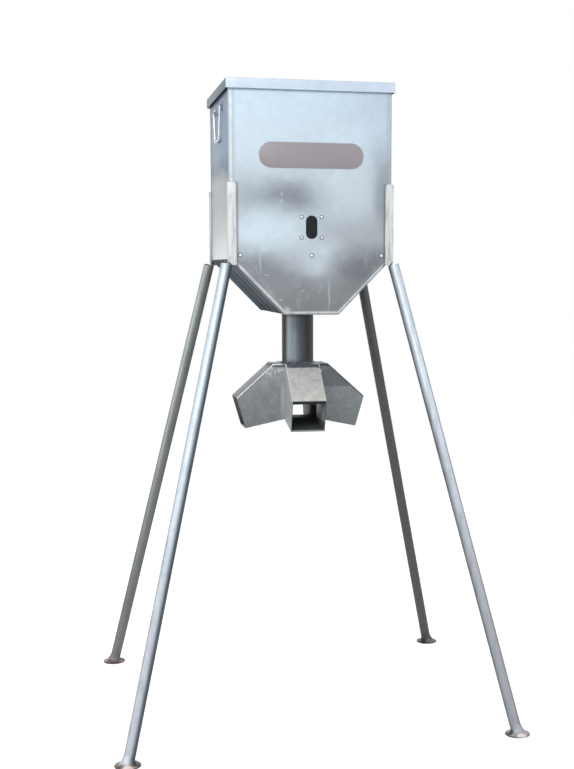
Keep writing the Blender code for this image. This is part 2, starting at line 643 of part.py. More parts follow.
def make_head(sheet, tube):
    """Down pipe and the four-way head: a folded cover, a folded floor and four bent corner plates."""
    pipe_foot = HEAD_TOP - HEAD_SHEET - PIPE_STAND
    pipe_head = FUNNEL_BOTTOM + SEAM + SHEET + PIPE_STAND
    profile = tube_profile(PIPE_RADIUS, PIPE_RADIUS - PIPE_WALL, pipe_foot, pipe_head)
    shade_round(add_object("down_pipe", round_solid(profile, PIPE_SIDES, (0, 0, 0), (0, 0, 1)), tube))

    reaches = [(HALF_SPOUT, HEAD_TOP), (FLAT_REACH, HEAD_TOP), (MOUTH_TOP.x, MOUTH_TOP.y)]
    cover = add_object("head_cover", folded_sheet(cross_faces(HALF_SPOUT, reaches), HEAD_SHEET), sheet)
    hole = round_solid(rod_profile(PIPE_RADIUS + GAP, -CUT, CUT), PIPE_SIDES, (0, 0, HEAD_TOP), (0, 0, 1))
    combine(cover, [add_object("pipe_hole", hole, sheet)])

    under = HEAD_SHEET + GAP
    wing = [(HALF_SPOUT, FLOOR_HEIGHT), tuple(MOUTH_FOOT), tuple(MOUTH_TOP), (FLAT_REACH, HEAD_TOP),
            (HALF_SPOUT, HEAD_TOP)]
    wing = inset_outline(wing, [0, 0, under, under, 0])
    for name, side_x, side_y in CORNERS:
        along_x = [(side_x * r, side_y * HALF_SPOUT, z) for r, z in wing]
        along_y = [(side_x * HALF_SPOUT, side_y * r, z) for r, z in wing]
        if side_x * side_y > 0:
            along_x.reverse()
        else:
            along_y.reverse()
        add_object(f"head_{name}_corner", folded_sheet([along_x, along_y], HEAD_SHEET), sheet)

    half = HALF_SPOUT - HEAD_SHEET - GAP
    fall = (FLOOR_HEIGHT - MOUTH_FOOT.y) / (MOUTH_FOOT.x - HALF_SPOUT)
    reaches = [(half, FLOOR_HEIGHT + (HALF_SPOUT - half) * fall), (MOUTH_FOOT.x, MOUTH_FOOT.y)]
    faces = [face[::-1] for face in cross_faces(half, reaches)]
    add_object("head_floor", folded_sheet(faces, HEAD_SHEET), sheet)


def bail_points():
    """Middle line of a bail, from one eye round the grip to the other, with rounded bends."""
    spread, grip = HANDLE_SPREAD / 2, HANDLE_GRIP / 2
    tip = EYE_END - EYE_LENGTH - EDGE
    corners = [(-tip, 0), (-spread, 0), (-grip, -HANDLE_DROP), (grip, -HANDLE_DROP), (spread, 0), (tip, 0)]
    corners = [Vector(corner) for corner in corners]
    path = [corners[0]]
    for before, corner, after in zip(corners, corners[1:], corners[2:]):
        back = (before - corner).normalized()
        ahead = (after - corner).normalized()
        start, end = corner + back * HANDLE_BEND, corner + ahead * HANDLE_BEND
        for step in range(BEND_POINTS + 1):
            share = step / BEND_POINTS
            path.append(start.lerp(corner, share).lerp(corner.lerp(end, share), share))
    return path + [corners[-1]]


def make_handles(rod_mat, sheet):
    for name, side in (("left", -1), ("right", 1)):
        wall = HALF_W - SEAM + GAP
        axis_x = side * (wall + HANDLE_PLATE + EYE_STAND)
        half = HANDLE_SPREAD / 2 + HANDLE_PLATE_MARGIN
        rise = HANDLE_PLATE_HEIGHT / 2
        across = sorted((side * wall, side * (wall + HANDLE_PLATE)))
        plate = box((across[0], -half, HANDLE_HEIGHT - rise), (across[1], half, HANDLE_HEIGHT + rise))
        bracket = add_object(f"{name}_handle_bracket", plate, sheet)
        eyes, holes = [], []
        for end in (-1, 1):
            centre = (axis_x, end * (EYE_END - EYE_LENGTH / 2), HANDLE_HEIGHT)
            for radius, length, group in ((EYE_RADIUS, EYE_LENGTH, eyes),
                                          (HANDLE_ROD + GAP, EYE_LENGTH + 2 * EDGE, holes)):
                bm = round_solid(rod_profile(radius, -length / 2, length / 2), ROUND, centre, (0, 1, 0))
                group.append(add_object("eye", bm, sheet))
        combine(bracket, eyes, "UNION", "MANIFOLD")
        combine(bracket, holes, "DIFFERENCE", "MANIFOLD")

        curve = bpy.data.curves.new(f"{name}_handle", "CURVE")
        curve.dimensions = "3D"
        curve.bevel_depth = HANDLE_ROD
        curve.bevel_resolution = 2
        curve.use_fill_caps = True
        path = bail_points()
        spline = curve.splines.new("POLY")
        spline.points.add(len(path) - 1)
        for point, spot in zip(spline.points, path):
            point.co = (0, spot.x, spot.y, 1)
        curve.materials.append(rod_mat)
        bail = bpy.data.objects.new(f"{name}_handle", curve)
        bail.location = (axis_x, 0, HANDLE_HEIGHT)
        bpy.context.scene.collection.objects.link(bail)


def main():
    clear_scene()
    sheet = material("galvanised_sheet", (0.62, 0.66, 0.70), 0.32, 0.9)
    bracket = material("weathered_zinc", (0.74, 0.74, 0.73), 0.55, 0.5)
    tube = material("galvanised_tube", (0.42, 0.46, 0.50), 0.38, 0.85)
    head = material("head_sheet", (0.36, 0.37, 0.38), 0.42, 0.85)
    zinc = material("zinc_fastener", (0.72, 0.74, 0.76), 0.30, 0.9)
    plate = material("bare_plate", (0.50, 0.47, 0.46), 0.45, 0.4)
    clear_plastic = material("smoked_window", (0.03, 0.035, 0.04), 0.15, 0.0)
    make_hopper(sheet, plate, clear_plastic, zinc)
    make_lid(sheet, zinc)
    make_legs(bracket, tube)
    make_head(head, tube)
    make_handles(zinc, sheet)


main()
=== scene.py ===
"""Looks of the feeder: galvanised sheet, tube and plate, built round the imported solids."""
import json
import math

import bpy
from mathutils import Matrix, Vector

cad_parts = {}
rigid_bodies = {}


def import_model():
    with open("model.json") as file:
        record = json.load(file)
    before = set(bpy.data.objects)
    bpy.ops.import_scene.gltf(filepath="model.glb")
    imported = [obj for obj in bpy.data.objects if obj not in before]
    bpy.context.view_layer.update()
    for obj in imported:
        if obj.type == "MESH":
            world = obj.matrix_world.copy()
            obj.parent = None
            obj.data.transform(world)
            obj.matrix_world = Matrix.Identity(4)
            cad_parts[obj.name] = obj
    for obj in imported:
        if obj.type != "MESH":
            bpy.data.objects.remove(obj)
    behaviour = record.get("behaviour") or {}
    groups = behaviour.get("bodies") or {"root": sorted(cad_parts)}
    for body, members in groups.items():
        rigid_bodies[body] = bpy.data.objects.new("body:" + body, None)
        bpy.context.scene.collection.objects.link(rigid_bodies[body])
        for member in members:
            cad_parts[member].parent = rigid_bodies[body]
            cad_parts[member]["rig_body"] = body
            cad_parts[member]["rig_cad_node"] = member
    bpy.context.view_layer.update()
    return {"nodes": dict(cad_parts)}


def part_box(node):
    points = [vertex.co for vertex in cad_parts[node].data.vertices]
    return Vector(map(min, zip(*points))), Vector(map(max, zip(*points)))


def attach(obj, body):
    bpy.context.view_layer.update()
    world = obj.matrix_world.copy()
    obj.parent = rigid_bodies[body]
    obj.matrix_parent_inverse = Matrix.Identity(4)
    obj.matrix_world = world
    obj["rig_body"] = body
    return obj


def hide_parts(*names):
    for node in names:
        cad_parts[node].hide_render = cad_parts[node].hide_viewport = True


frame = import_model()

# Sizes that the pieces share with the solids, in metres
HALF_WIDTH = 0.280
HALF_DEPTH = 0.280
CORNER = 1.620                  # height where the walls turn into the funnel
WALL_TOP = 2.215
FUNNEL_BOTTOM = 1.4315
HALF_BOTTOM = 0.09515           # from the middle to the side of the funnel's foot
SHEET = 0.0015
FOLD_RADIUS = 0.009
FOLD_DEPTH = 0.024
LID_REACH = 0.2895
LID_TOP = 2.2168
LID_EDGE = 2.1828
LID_FOLD = 0.003
SLOT_HEIGHT = 1.728             # middle of the sight window
SLOT_WIDTH = 0.040
SLOT_LENGTH = 0.079
RIVET_HEIGHT = CORNER + 0.013
RIVET_OUT = 0.244               # from the middle to the outer rivets
SCREW_OUT = 0.0345              # from the window's middle to its screws, both ways
TUBE_RADIUS = 0.01905
TUBE_WALL = 0.00165
LEG_TOP = Vector((0.290, 0.268, 1.602))
FOOT_SPOT = Vector((0.660, 0.572, 0.0))
FOOT_NECK = 0.034
FOOT_RADIUS = 0.043
FOOT_RIM = 0.004
FOOT_EDGE = ((0.0033, 0.0003), (0.0024, 0.0), (0.0008, 0.0001), (0.0, 0.001))   # height and inset, downwards
PIPE_RADIUS = 0.05715
PIPE_WALL = 0.003
HEAD_TOP = 1.249
HALF_SPOUT = 0.060
FLAT_REACH = 0.100              # where the head's flat top turns down into the spout roofs
MOUTH_TOP = (0.234, 1.129)      # reach and height
MOUTH_FOOT = (0.202, 1.019)
MOUTH_LEAN = (0.960, -0.279)    # way out of a mouth, square to its rim
BAIL_ROD = 0.004                # radius of the wire
BAIL_BEND = 0.012
BAIL_SPREAD = 0.095
BAIL_GRIP = 0.0575
BAIL_DROP = 0.112
BAIL_TIP = 0.069

# Sizes of the making
GAP = 0.0001                    # what a fastener's foot stands off its sheet
NEAR = 0.0001                   # what counts as on a level
MERGE = 0.00002                 # points nearer than this become one
TUBE_SIDES = 40
WELD_STEPS = 90                 # points of a weld ring
FLARE_STEPS = 12                # rings of a foot's flare
BEND_STEPS = 8                  # points of a bend in the wire
# Across the viewer's sideways the tubes get painted shade on their flanks
FLANK = (0.99, -0.12)           # the viewer's sideways, across the tubes
PIPE_FLANK = (0.975, -0.222)    # and across the pipe
CORNERS = {"front_left": (-1, -1), "front_right": (1, -1), "rear_left": (-1, 1), "rear_right": (1, 1)}


# ---------------------------------------------------------------- finishes
class Link:
    """A shader socket. Sums on it add their own Math nodes."""

    def __init__(self, wiring, socket):
        self.wiring = wiring
        self.socket = socket

    def maths(self, operation, *others):
        values = dict(enumerate((self, *others)))
        return self.wiring.node("ShaderNodeMath", {"operation": operation}, values)

    def __add__(self, other):
        return self.maths("ADD", other)

    __radd__ = __add__

    def __sub__(self, other):
        return self.maths("SUBTRACT", other)

    def __rsub__(self, other):
        return self * -1 + other

    def __mul__(self, other):
        return self.maths("MULTIPLY", other)

    __rmul__ = __mul__

    def __truediv__(self, other):
        return self.maths("DIVIDE", other)

    def least(self, other):
        return self.maths("MINIMUM", other)

    def most(self, other):
        return self.maths("MAXIMUM", other)

    def size(self):
        return self.maths("ABSOLUTE")


def tone(red, green, blue):
    """A colour as it is read off a screen, turned into light."""
    def light(value):
        value /= 255
        return value / 12.92 if value <= 0.04045 else ((value + 0.055) / 1.055) ** 2.4
    return (light(red), light(green), light(blue), 1.0)


class Wiring:
    """A node tree and the one way to add to it."""

    def __init__(self, tree):
        self.tree = tree

    def node(self, kind, settings, values, out=0):
        """Add a node: its settings first, then the values or links of its sockets."""
        made = self.tree.nodes.new(kind)
        for name, value in settings.items():
            setattr(made, name, value)
        for name, value in values.items():
            self.put(value, made.inputs[name])
        return Link(self, made.outputs[out])

    def put(self, value, socket):
        """Link or set a socket."""
        if isinstance(value, Link):
            self.tree.links.new(value.socket, socket)
        else:
            socket.default_value = value

    def blend(self, first, second, factor):
        """Blend two shaders."""
        return self.node("ShaderNodeMixShader", {}, {0: factor, 1: first, 2: second})


class Finish(Wiring):
    """One finish as a node material."""

    def __init__(self, name, metallic, roughness, specular=0.25):
        self.material = bpy.data.materials.new(name)
        self.material.use_nodes = True
        super().__init__(self.material.node_tree)
        self.shader = self.tree.nodes["Principled BSDF"]
        self.surface("Metallic", metallic)
        self.surface("Roughness", roughness)
        self.surface("Specular IOR Level", specular)
        self.place = self.node("ShaderNodeTexCoord", {}, {}, "Object")
        self.normal = self.node("ShaderNodeTexCoord", {}, {}, "Normal")
        self.x, self.y, self.z = self.parts("ShaderNodeSeparateXYZ", self.place)
        self.facing_x, self.facing_y, self.facing_z = self.parts("ShaderNodeSeparateXYZ", self.normal)

    def surface(self, name, value):
        self.put(value, self.shader.inputs[name])

    def parts(self, kind, whole):
        """The numbers that a place or a colour is made of."""
        split = self.node(kind, {}, {0: whole})
        return [Link(self, output) for output in split.socket.node.outputs]

    def fade(self, value, start, end):
        """Smooth step from 0 at the start level to 1 at the end level."""
        return self.node("ShaderNodeMapRange", {"interpolation_type": "SMOOTHSTEP"},
                         {0: value, 1: start, 2: end})

    def ramp(self, value, stops):
        """Colours along a value, from their positions and screen tones."""
        ramp = self.node("ShaderNodeValToRGB", {}, {0: value})
        elements = ramp.socket.node.color_ramp.elements
        elements.remove(elements[-1])
        for index, (position, colour) in enumerate(stops):
            element = elements[0] if index == 0 else elements.new(position)
            element.position = position
            element.color = tone(*colour)
        return ramp

    def mix(self, first, second, factor):
        return self.node("ShaderNodeMix", {"data_type": "RGBA"}, {0: factor, 6: first, 7: second}, 2)

    def shade(self, colour, amount):
        """Multiply a colour by a number that changes over the surface."""
        grey = self.node("ShaderNodeCombineColor", {}, {0: amount, 1: amount, 2: amount})
        return self.node("ShaderNodeMix", {"data_type": "RGBA", "blend_type": "MULTIPLY"},
                         {0: 1.0, 6: colour, 7: grey}, 2)

    def arrows(self, operation, first, second, out=0):
        """A sum with two places or directions."""
        return self.node("ShaderNodeVectorMath", {"operation": operation}, {0: first, 1: second}, out)

    def noise(self, scale, detail, rough, stretch=None):
        vector = self.arrows("MULTIPLY", self.place, stretch) if stretch else self.place
        return self.node("ShaderNodeTexNoise", {},
                         {"Vector": vector, "Scale": scale, "Detail": detail, "Roughness": rough})

    def cells(self, scale, out="Distance"):
        return self.node("ShaderNodeTexVoronoi", {}, {"Vector": self.place, "Scale": scale}, out)

    def crystal(self, scale):
        """A number for each zinc crystal."""
        return self.parts("ShaderNodeSeparateColor", self.cells(scale, "Color"))[0]

    def smudge(self, across, up, centre, radii, soft=0.75):
        """Soft oval patch: 1 in its middle, 0 outside."""
        away = (across - centre[0]) / radii[0]
        high = (up - centre[1]) / radii[1]
        distance = (away * away + high * high).maths("SQRT")
        return self.fade(distance, 1 + soft, 1 - soft)

    def inward(self, centre):
        """1 on faces that look towards a point inside the object, 0 on its outer faces."""
        reach = self.arrows("SUBTRACT", self.place, centre)
        return self.fade(self.arrows("DOT_PRODUCT", reach, self.normal, "Value"), 0.004, -0.004)

    def relief(self, height, strength, distance):
        values = {"Height": height, "Strength": strength, "Distance": distance}
        self.surface("Normal", self.node("ShaderNodeBump", {}, values))


def zinc_coat(finish, colour, roughness, spangle=0.05, stain=0.08, wave=0.0, crystal_scale=45):
    """What every galvanised surface has: crystals, soft stains, a slightly uneven gloss and faint waves."""
    crystal = finish.crystal(crystal_scale)
    cloud = finish.noise(9, 4, 0.6)
    speck = finish.noise(160, 2, 0.6)
    amount = 1 + (crystal - 0.5) * spangle + (cloud - 0.5) * stain * 2 + (speck - 0.5) * 0.08
    finish.surface("Base Color", finish.shade(colour, amount))
    finish.surface("Roughness", roughness + (crystal - 0.5) * 0.08 + (cloud - 0.5) * 0.14)
    height = speck * 0.05 + finish.noise(30, 2, 0.5) * 0.3
    if wave:
        height = height + finish.noise(3.2, 1, 0.4) * wave
    finish.relief(height, 0.2, 0.002)


# Painted reflections in the front panel, clouds of sky and surroundings: middle (x, z), reach (x, z), tone
# and strength
FRONT_REFLECTIONS = (
    ((0.280, 2.100), (0.130, 0.240), (192, 207, 224), 0.72),
    ((0.200, 1.960), (0.140, 0.070), (188, 203, 216), 0.35),
    ((0.120, 2.010), (0.110, 0.080), (212, 228, 243), 0.60),
    ((-0.078, 1.828), (0.130, 0.050), (143, 150, 160), 0.95),
    ((-0.200, 1.868), (0.065, 0.052), (158, 165, 173), 0.50),
    ((-0.110, 1.795), (0.060, 0.028), (150, 157, 166), 0.45),
    ((-0.165, 1.714), (0.150, 0.070), (212, 228, 238), 1.00),
    ((0.110, 1.850), (0.100, 0.100), (212, 225, 234), 0.65),
    ((0.250, 1.815), (0.030, 0.150), (152, 158, 166), 0.85),
    ((0.200, 1.710), (0.090, 0.060), (180, 187, 195), 0.60),
    ((0.026, 1.622), (0.100, 0.064), (203, 214, 222), 0.90),
    ((-0.180, 1.566), (0.112, 0.048), (144, 150, 156), 0.90),
    ((-0.076, 1.608), (0.058, 0.030), (182, 191, 198), 0.50),
    ((0.185, 1.585), (0.100, 0.060), (124, 129, 134), 0.95),
    ((0.035, 1.545), (0.085, 0.026), (148, 154, 158), 0.55),
    ((-0.215, 1.960), (0.070, 0.110), (216, 231, 242), 0.50),
)
# Lighter marks in it, painted highlights on creases and dents, and light streaks and scuffs: middle (x, z)
# and reach (x, z)
FRONT_MARKS = (
    ((-0.175, 1.610), (0.0035, 0.0280)), ((-0.154, 1.566), (0.0070, 0.0028)),
    ((-0.031, 1.513), (0.0055, 0.0026)), ((-0.104, 1.482), (0.0045, 0.0035)),
    ((0.060, 1.498), (0.0030, 0.0450)), ((0.133, 2.165), (0.0050, 0.0120)),
    ((0.166, 2.143), (0.0080, 0.0070)), ((-0.104, 1.838), (0.0040, 0.0060)),
    ((-0.105, 1.815), (0.0050, 0.0050)), ((0.041, 1.645), (0.0030, 0.0160)),
    ((-0.082, 1.630), (0.0040, 0.0060)),
)


def front_folds(finish, colour):
    """Painted highlights along the folded bends, each with a line of painted shade inside it."""
    side = HALF_WIDTH - finish.x.size()
    foot = finish.z - FUNNEL_BOTTOM
    run = HALF_WIDTH - HALF_BOTTOM
    drop = CORNER - FUNNEL_BOTTOM
    length = math.hypot(run, drop)
    slant = foot * (run / length) - (finish.x.size() - HALF_BOTTOM) * (drop / length)
    inset = side.least(slant).least(foot) / FOLD_RADIUS
    # Painted shade: a dull band just inside each bend
    colour = finish.mix(colour, tone(150, 155, 160), finish.fade(inset, 3.0, 1.2) * 0.35)
    worn = finish.smudge(finish.x, finish.z, (-0.086, 1.446), (0.010, 0.012))
    colour = finish.mix(colour, tone(206, 211, 214), worn * 0.6)
    # Painted highlight along each bend, patchy, weaker where the brackets stand
    bright = finish.fade(inset, 1.5, 1.0) - finish.fade(inset, 0.5, 0.15)
    plain = finish.fade(finish.x, 0.255, 0.262) * finish.fade(finish.z, CORNER, CORNER + 0.03)
    patchy = 1 - finish.fade(finish.noise(30, 3, 0.6), 0.42, 0.62) * 0.35
    return finish.mix(colour, tone(226, 231, 234), bright * patchy * (1 - plain * 0.75) * 0.82)


def front_grime_and_shadows(finish, colour):
    """Dark rings round the rivets and screws, partly grime and partly painted contact shadow, and painted
    shadow along the edge beside the brackets.
    """
    out = finish.x.size()
    level = finish.z - RIVET_HEIGHT
    beside_slot = (finish.z - SLOT_HEIGHT).size()
    screws = finish.smudge(out, beside_slot, (SCREW_OUT, SCREW_OUT), (0.0072, 0.0072), 0.25)
    outer = finish.smudge(out, level, (RIVET_OUT, 0.0), (0.0082, 0.0082), 0.25)
    middle = finish.smudge(finish.x, level, (0.0, 0.0), (0.0082, 0.0082), 0.25)
    colour = finish.mix(colour, tone(84, 90, 96), screws.most(outer).most(middle) * 0.85)
    # Painted shadow on the front face beside the brackets
    edge = finish.fade(out, 0.246, 0.254) * finish.fade(finish.z, CORNER + 0.262, CORNER + 0.250)
    return finish.mix(colour, tone(116, 122, 128), edge * 0.6)


def front_finish():
    """Front panel: painted reflections, pale blue sky above, clouds in the middle and dull grey ground in the
    funnel, with painted highlights at its folds.
    """
    finish = Finish("front_sheet", 0.20, 0.52, specular=0.15)
    drift = finish.noise(6, 4, 0.6) - 0.5
    across = finish.x + drift * 0.08
    up = finish.z + (finish.noise(7, 4, 0.6, (1.0, 1.0, 1.3)) - 0.5) * 0.08
    # Painted reflection: pale sky high up, dull ground low down
    colour = finish.ramp((up - FUNNEL_BOTTOM) / (WALL_TOP - FUNNEL_BOTTOM), (
        (0.00, (134, 137, 138)), (0.16, (146, 151, 155)), (0.30, (170, 177, 184)), (0.46, (186, 196, 204)),
        (0.62, (196, 208, 216)), (0.74, (207, 222, 234)), (1.00, (206, 226, 243))))
    for centre, radii, cloud, strength in FRONT_REFLECTIONS:
        colour = finish.mix(colour, tone(*cloud), finish.smudge(across, up, centre, radii) * strength)
    colour = front_folds(finish, colour)
    ripple = finish.x + drift * 0.03
    # Painted highlights on the creases, with the light streaks and scuffs
    light = 0
    for centre, radii in FRONT_MARKS:
        light += finish.smudge(ripple, finish.z, centre, radii)
    colour = finish.mix(colour, tone(222, 230, 236), light * 0.32)
    haze = finish.fade(finish.noise(26, 6, 0.75, (1.0, 1.0, 0.6)), 0.50, 0.68)
    haze = haze * finish.fade(finish.z, 1.70, 1.60)
    colour = finish.mix(colour, tone(206, 212, 216), haze * 0.22)
    zinc_coat(finish, front_grime_and_shadows(finish, colour), 0.54, wave=1.2)
    return finish


def side_reflection_finish():
    """Left side wall and its eye plate: painted reflection and shade, blue-grey and darkest under the lid,
    pale and warmer low down where the ground is reflected.
    """
    finish = Finish("side_sheet_painted_reflection", 0.35, 0.38)
    up = finish.z + (finish.noise(5, 4, 0.6) - 0.5) * 0.07
    # Painted reflection from the foot of the wall to its top, with painted shade under the lid
    colour = finish.ramp((up - CORNER) / (WALL_TOP - CORNER), (
        (0.00, (246, 250, 250)), (0.16, (206, 211, 212)), (0.30, (184, 188, 191)), (0.455, (176, 181, 183)),
        (0.535, (110, 127, 146)), (0.62, (132, 154, 176)), (0.85, (130, 149, 169)), (1.00, (108, 124, 140))))
    zinc_coat(finish, colour, 0.38, wave=0.8)
    return finish


def shaded_slope_finish():
    """Underside of the funnel: dull, painted dark as shade, with long light and dark bands along it."""
    finish = Finish("slope_sheet_painted_shade", 0.10, 0.70, specular=0.0)
    across = finish.y + (finish.noise(5, 2, 0.5) - 0.5) * 0.04 + (finish.noise(28, 3, 0.6) - 0.5) * 0.012
    colour = finish.ramp((across + 0.27) / 0.54, (
        (0.00, (112, 120, 128)), (0.03, (60, 66, 72)), (0.07, (70, 76, 82)), (0.10, (150, 158, 166)),
        (0.17, (160, 168, 176)), (0.20, (66, 72, 80)), (0.24, (78, 84, 92)), (0.27, (160, 164, 174)),
        (0.33, (150, 156, 166)), (0.37, (78, 86, 94)), (0.42, (126, 136, 144)), (0.50, (88, 98, 106)),
        (0.56, (140, 145, 154)), (0.66, (92, 102, 110)), (0.80, (118, 130, 136)), (1.00, (104, 116, 122))))
    # Darker towards the bottom
    colour = finish.shade(colour, 1 - finish.fade(finish.z, 1.49, 1.44) * 0.25)
    zinc_coat(finish, colour, 0.66, wave=0.5)
    return finish


def plain_zinc(name, colour, metallic=0.28, roughness=0.42, **coat):
    finish = Finish(name, metallic, roughness)
    base = finish.mix(colour, tuple(c * 0.82 for c in colour[:3]) + (1.0,), finish.noise(14, 3, 0.6))
    zinc_coat(finish, base, roughness, **coat)
    return finish


def lid_finish():
    finish = Finish("lid_sheet", 0.30, 0.34, specular=0.15)
    # Painted light on the lip: the front pale with reflected sky, a little darker towards the left corner,
    # the left side dark with painted reflection and shade
    front = finish.fade(finish.y, -LID_REACH + 0.004, -LID_REACH + 0.001)
    left = finish.fade(finish.facing_x, -0.4, -0.8)
    lip = finish.mix(tone(186, 198, 208), tone(86, 107, 120), left)
    corner = finish.fade(finish.x, -0.12, -0.24)
    lip = finish.mix(lip, finish.mix(tone(207, 222, 238), tone(196, 211, 228), corner), front)
    top = finish.fade(finish.z, LID_TOP - 0.003, LID_TOP - 0.001)
    cloud = finish.fade(finish.noise(5, 4, 0.6), 0.40, 0.65)
    colour = finish.mix(lip, finish.mix(tone(200, 210, 217), tone(180, 190, 198), cloud), top)
    zinc_coat(finish, colour, 0.34 + top * 0.32, spangle=0.03, stain=0.05, wave=0.5)
    return finish


def bracket_finish(name, pale, streaked):
    """Thick hot-dip zinc, chalky white, run down in streaks."""
    finish = Finish(name, 0.20, 0.55)
    streak = finish.fade(finish.noise(95, 3, 0.6, (1.0, 1.0, 0.12)), 0.42, 0.66)
    colour = finish.mix(pale, streaked, streak)
    blotch = finish.fade(finish.noise(60, 4, 0.7), 0.52, 0.72)
    colour = finish.mix(colour, tone(184, 182, 185), blotch * 0.45)
    zinc_coat(finish, colour, 0.55, stain=0.05)
    return finish


def tube_colour(finish, look):
    """Bright zinc with run marks, duller lower down, with painted shade on the side that is turned one way
    and on both flanks.
    """
    run = finish.noise(55, 3, 0.6, (1.0, 1.0, 0.06))
    patch = finish.noise(10, 3, 0.6)
    base = finish.mix(look["top"], look["low"], finish.fade(finish.z + (patch - 0.5) * 0.5, 1.3, 0.2))
    facing = finish.facing_x * look["turned"][0] + finish.facing_y * look["turned"][1]
    base = finish.mix(base, look["shade"], finish.fade(facing, -0.25, 0.50))
    # Painted shade on both flanks
    flank = finish.fade((finish.facing_x * FLANK[0] + finish.facing_y * FLANK[1]).size(), 0.50, 1.0)
    amount = 1 - finish.fade(run, 0.45, 0.75) * 0.20 - finish.fade(patch, 0.5, 0.8) * 0.18
    return finish.shade(base, amount - flank * look["flank"])


def tube_finish(name, look):
    finish = Finish(name, 0.30, 0.48)
    zinc_coat(finish, tube_colour(finish, look), 0.48, crystal_scale=70)
    return finish


def foot_finish(name, look, corner):
    """Foot: its neck like the tube, its pad blotched, with a painted highlight and a painted shadow on it,
    its rim dark.
    """
    finish = Finish(name, 0.25, 0.52)
    centre_x, centre_y = (side * spot for side, spot in zip(CORNERS[corner], FOOT_SPOT))
    across = finish.x - centre_x
    along = finish.y - centre_y
    reach = (across * across + along * along).maths("SQRT")
    level = finish.z + (finish.noise(60, 3, 0.6) - 0.5) * 0.010
    blotch = finish.fade(finish.noise(55, 4, 0.7), 0.42, 0.62)
    pad = finish.mix(look["pad"], look["worn"], blotch)
    base = finish.mix(tube_colour(finish, look), pad, finish.fade(level, 0.017, 0.008))
    ragged = reach + (finish.noise(70, 3, 0.6) - 0.5) * 0.010
    base = finish.mix(base, tone(58, 55, 55), finish.fade(ragged, 0.038, 0.043) * 0.8)
    low = finish.fade(level, 0.022, 0.012)
    # Painted shadow and painted highlight on the pad
    painted_shadow = finish.smudge(across, along, look["painted_shadow"], (0.019, 0.015), 0.4) * low
    base = finish.mix(base, tone(30, 31, 31), painted_shadow * 0.9)
    painted_highlight = finish.smudge(across, along, look["painted_highlight"], (0.017, 0.008), 0.4) * low
    base = finish.mix(base, look["glint"], painted_highlight)
    zinc_coat(finish, base, 0.52, crystal_scale=90)
    return finish


def pipe_finish():
    """Down pipe: painted highlight along its middle, painted shade on both flanks and painted shadow under
    the funnel, dull above the weld.
    """
    finish = Finish("pipe_zinc", 0.35, 0.38)
    across = (finish.x * PIPE_FLANK[0] + finish.y * PIPE_FLANK[1]) / (2 * PIPE_RADIUS) + 0.5
    run = finish.noise(40, 3, 0.6, (1.0, 1.0, 0.08))
    # Painted highlight along the middle, painted shade on both flanks
    colour = finish.ramp(across + (run - 0.5) * 0.06, (
        (0.00, (50, 56, 60)), (0.12, (54, 62, 67)), (0.20, (138, 149, 154)), (0.44, (139, 150, 156)),
        (0.56, (112, 120, 130)), (0.68, (80, 84, 92)), (0.80, (56, 58, 62)), (1.00, (66, 68, 70))))
    colour = finish.shade(colour, 1 - finish.fade(run, 0.45, 0.70) * 0.15)
    # Painted shadow under the funnel
    high = finish.fade(finish.z, FUNNEL_BOTTOM - 0.022, FUNNEL_BOTTOM - 0.006)
    colour = finish.mix(colour, tone(58, 62, 68), high * 0.7)
    low = finish.fade(finish.z, HEAD_TOP + 0.02, HEAD_TOP + 0.004)
    zinc_coat(finish, finish.mix(colour, tone(80, 84, 92), low * 0.6), 0.42)
    return finish


def head_inside_light_and_shade(finish):
    """Inside of the head, painted light and shade: cheeks pale deep in the front spout, dark beyond it and at
    their feet, and dark floor and roof undersides.
    """
    low = finish.fade(finish.z, MOUTH_FOOT[1] + 0.038, MOUTH_FOOT[1] + 0.032)
    cheek = finish.mix(tone(132, 138, 136), tone(250, 250, 250), finish.fade(finish.y, -0.230, -0.140))
    cheek = finish.mix(tone(84, 88, 87), cheek, finish.fade(finish.y, -0.058, -0.064))
    cheek = finish.mix(cheek, tone(46, 49, 48), low * 0.75)
    return finish.mix(cheek, tone(64, 68, 68), finish.facing_z.size())


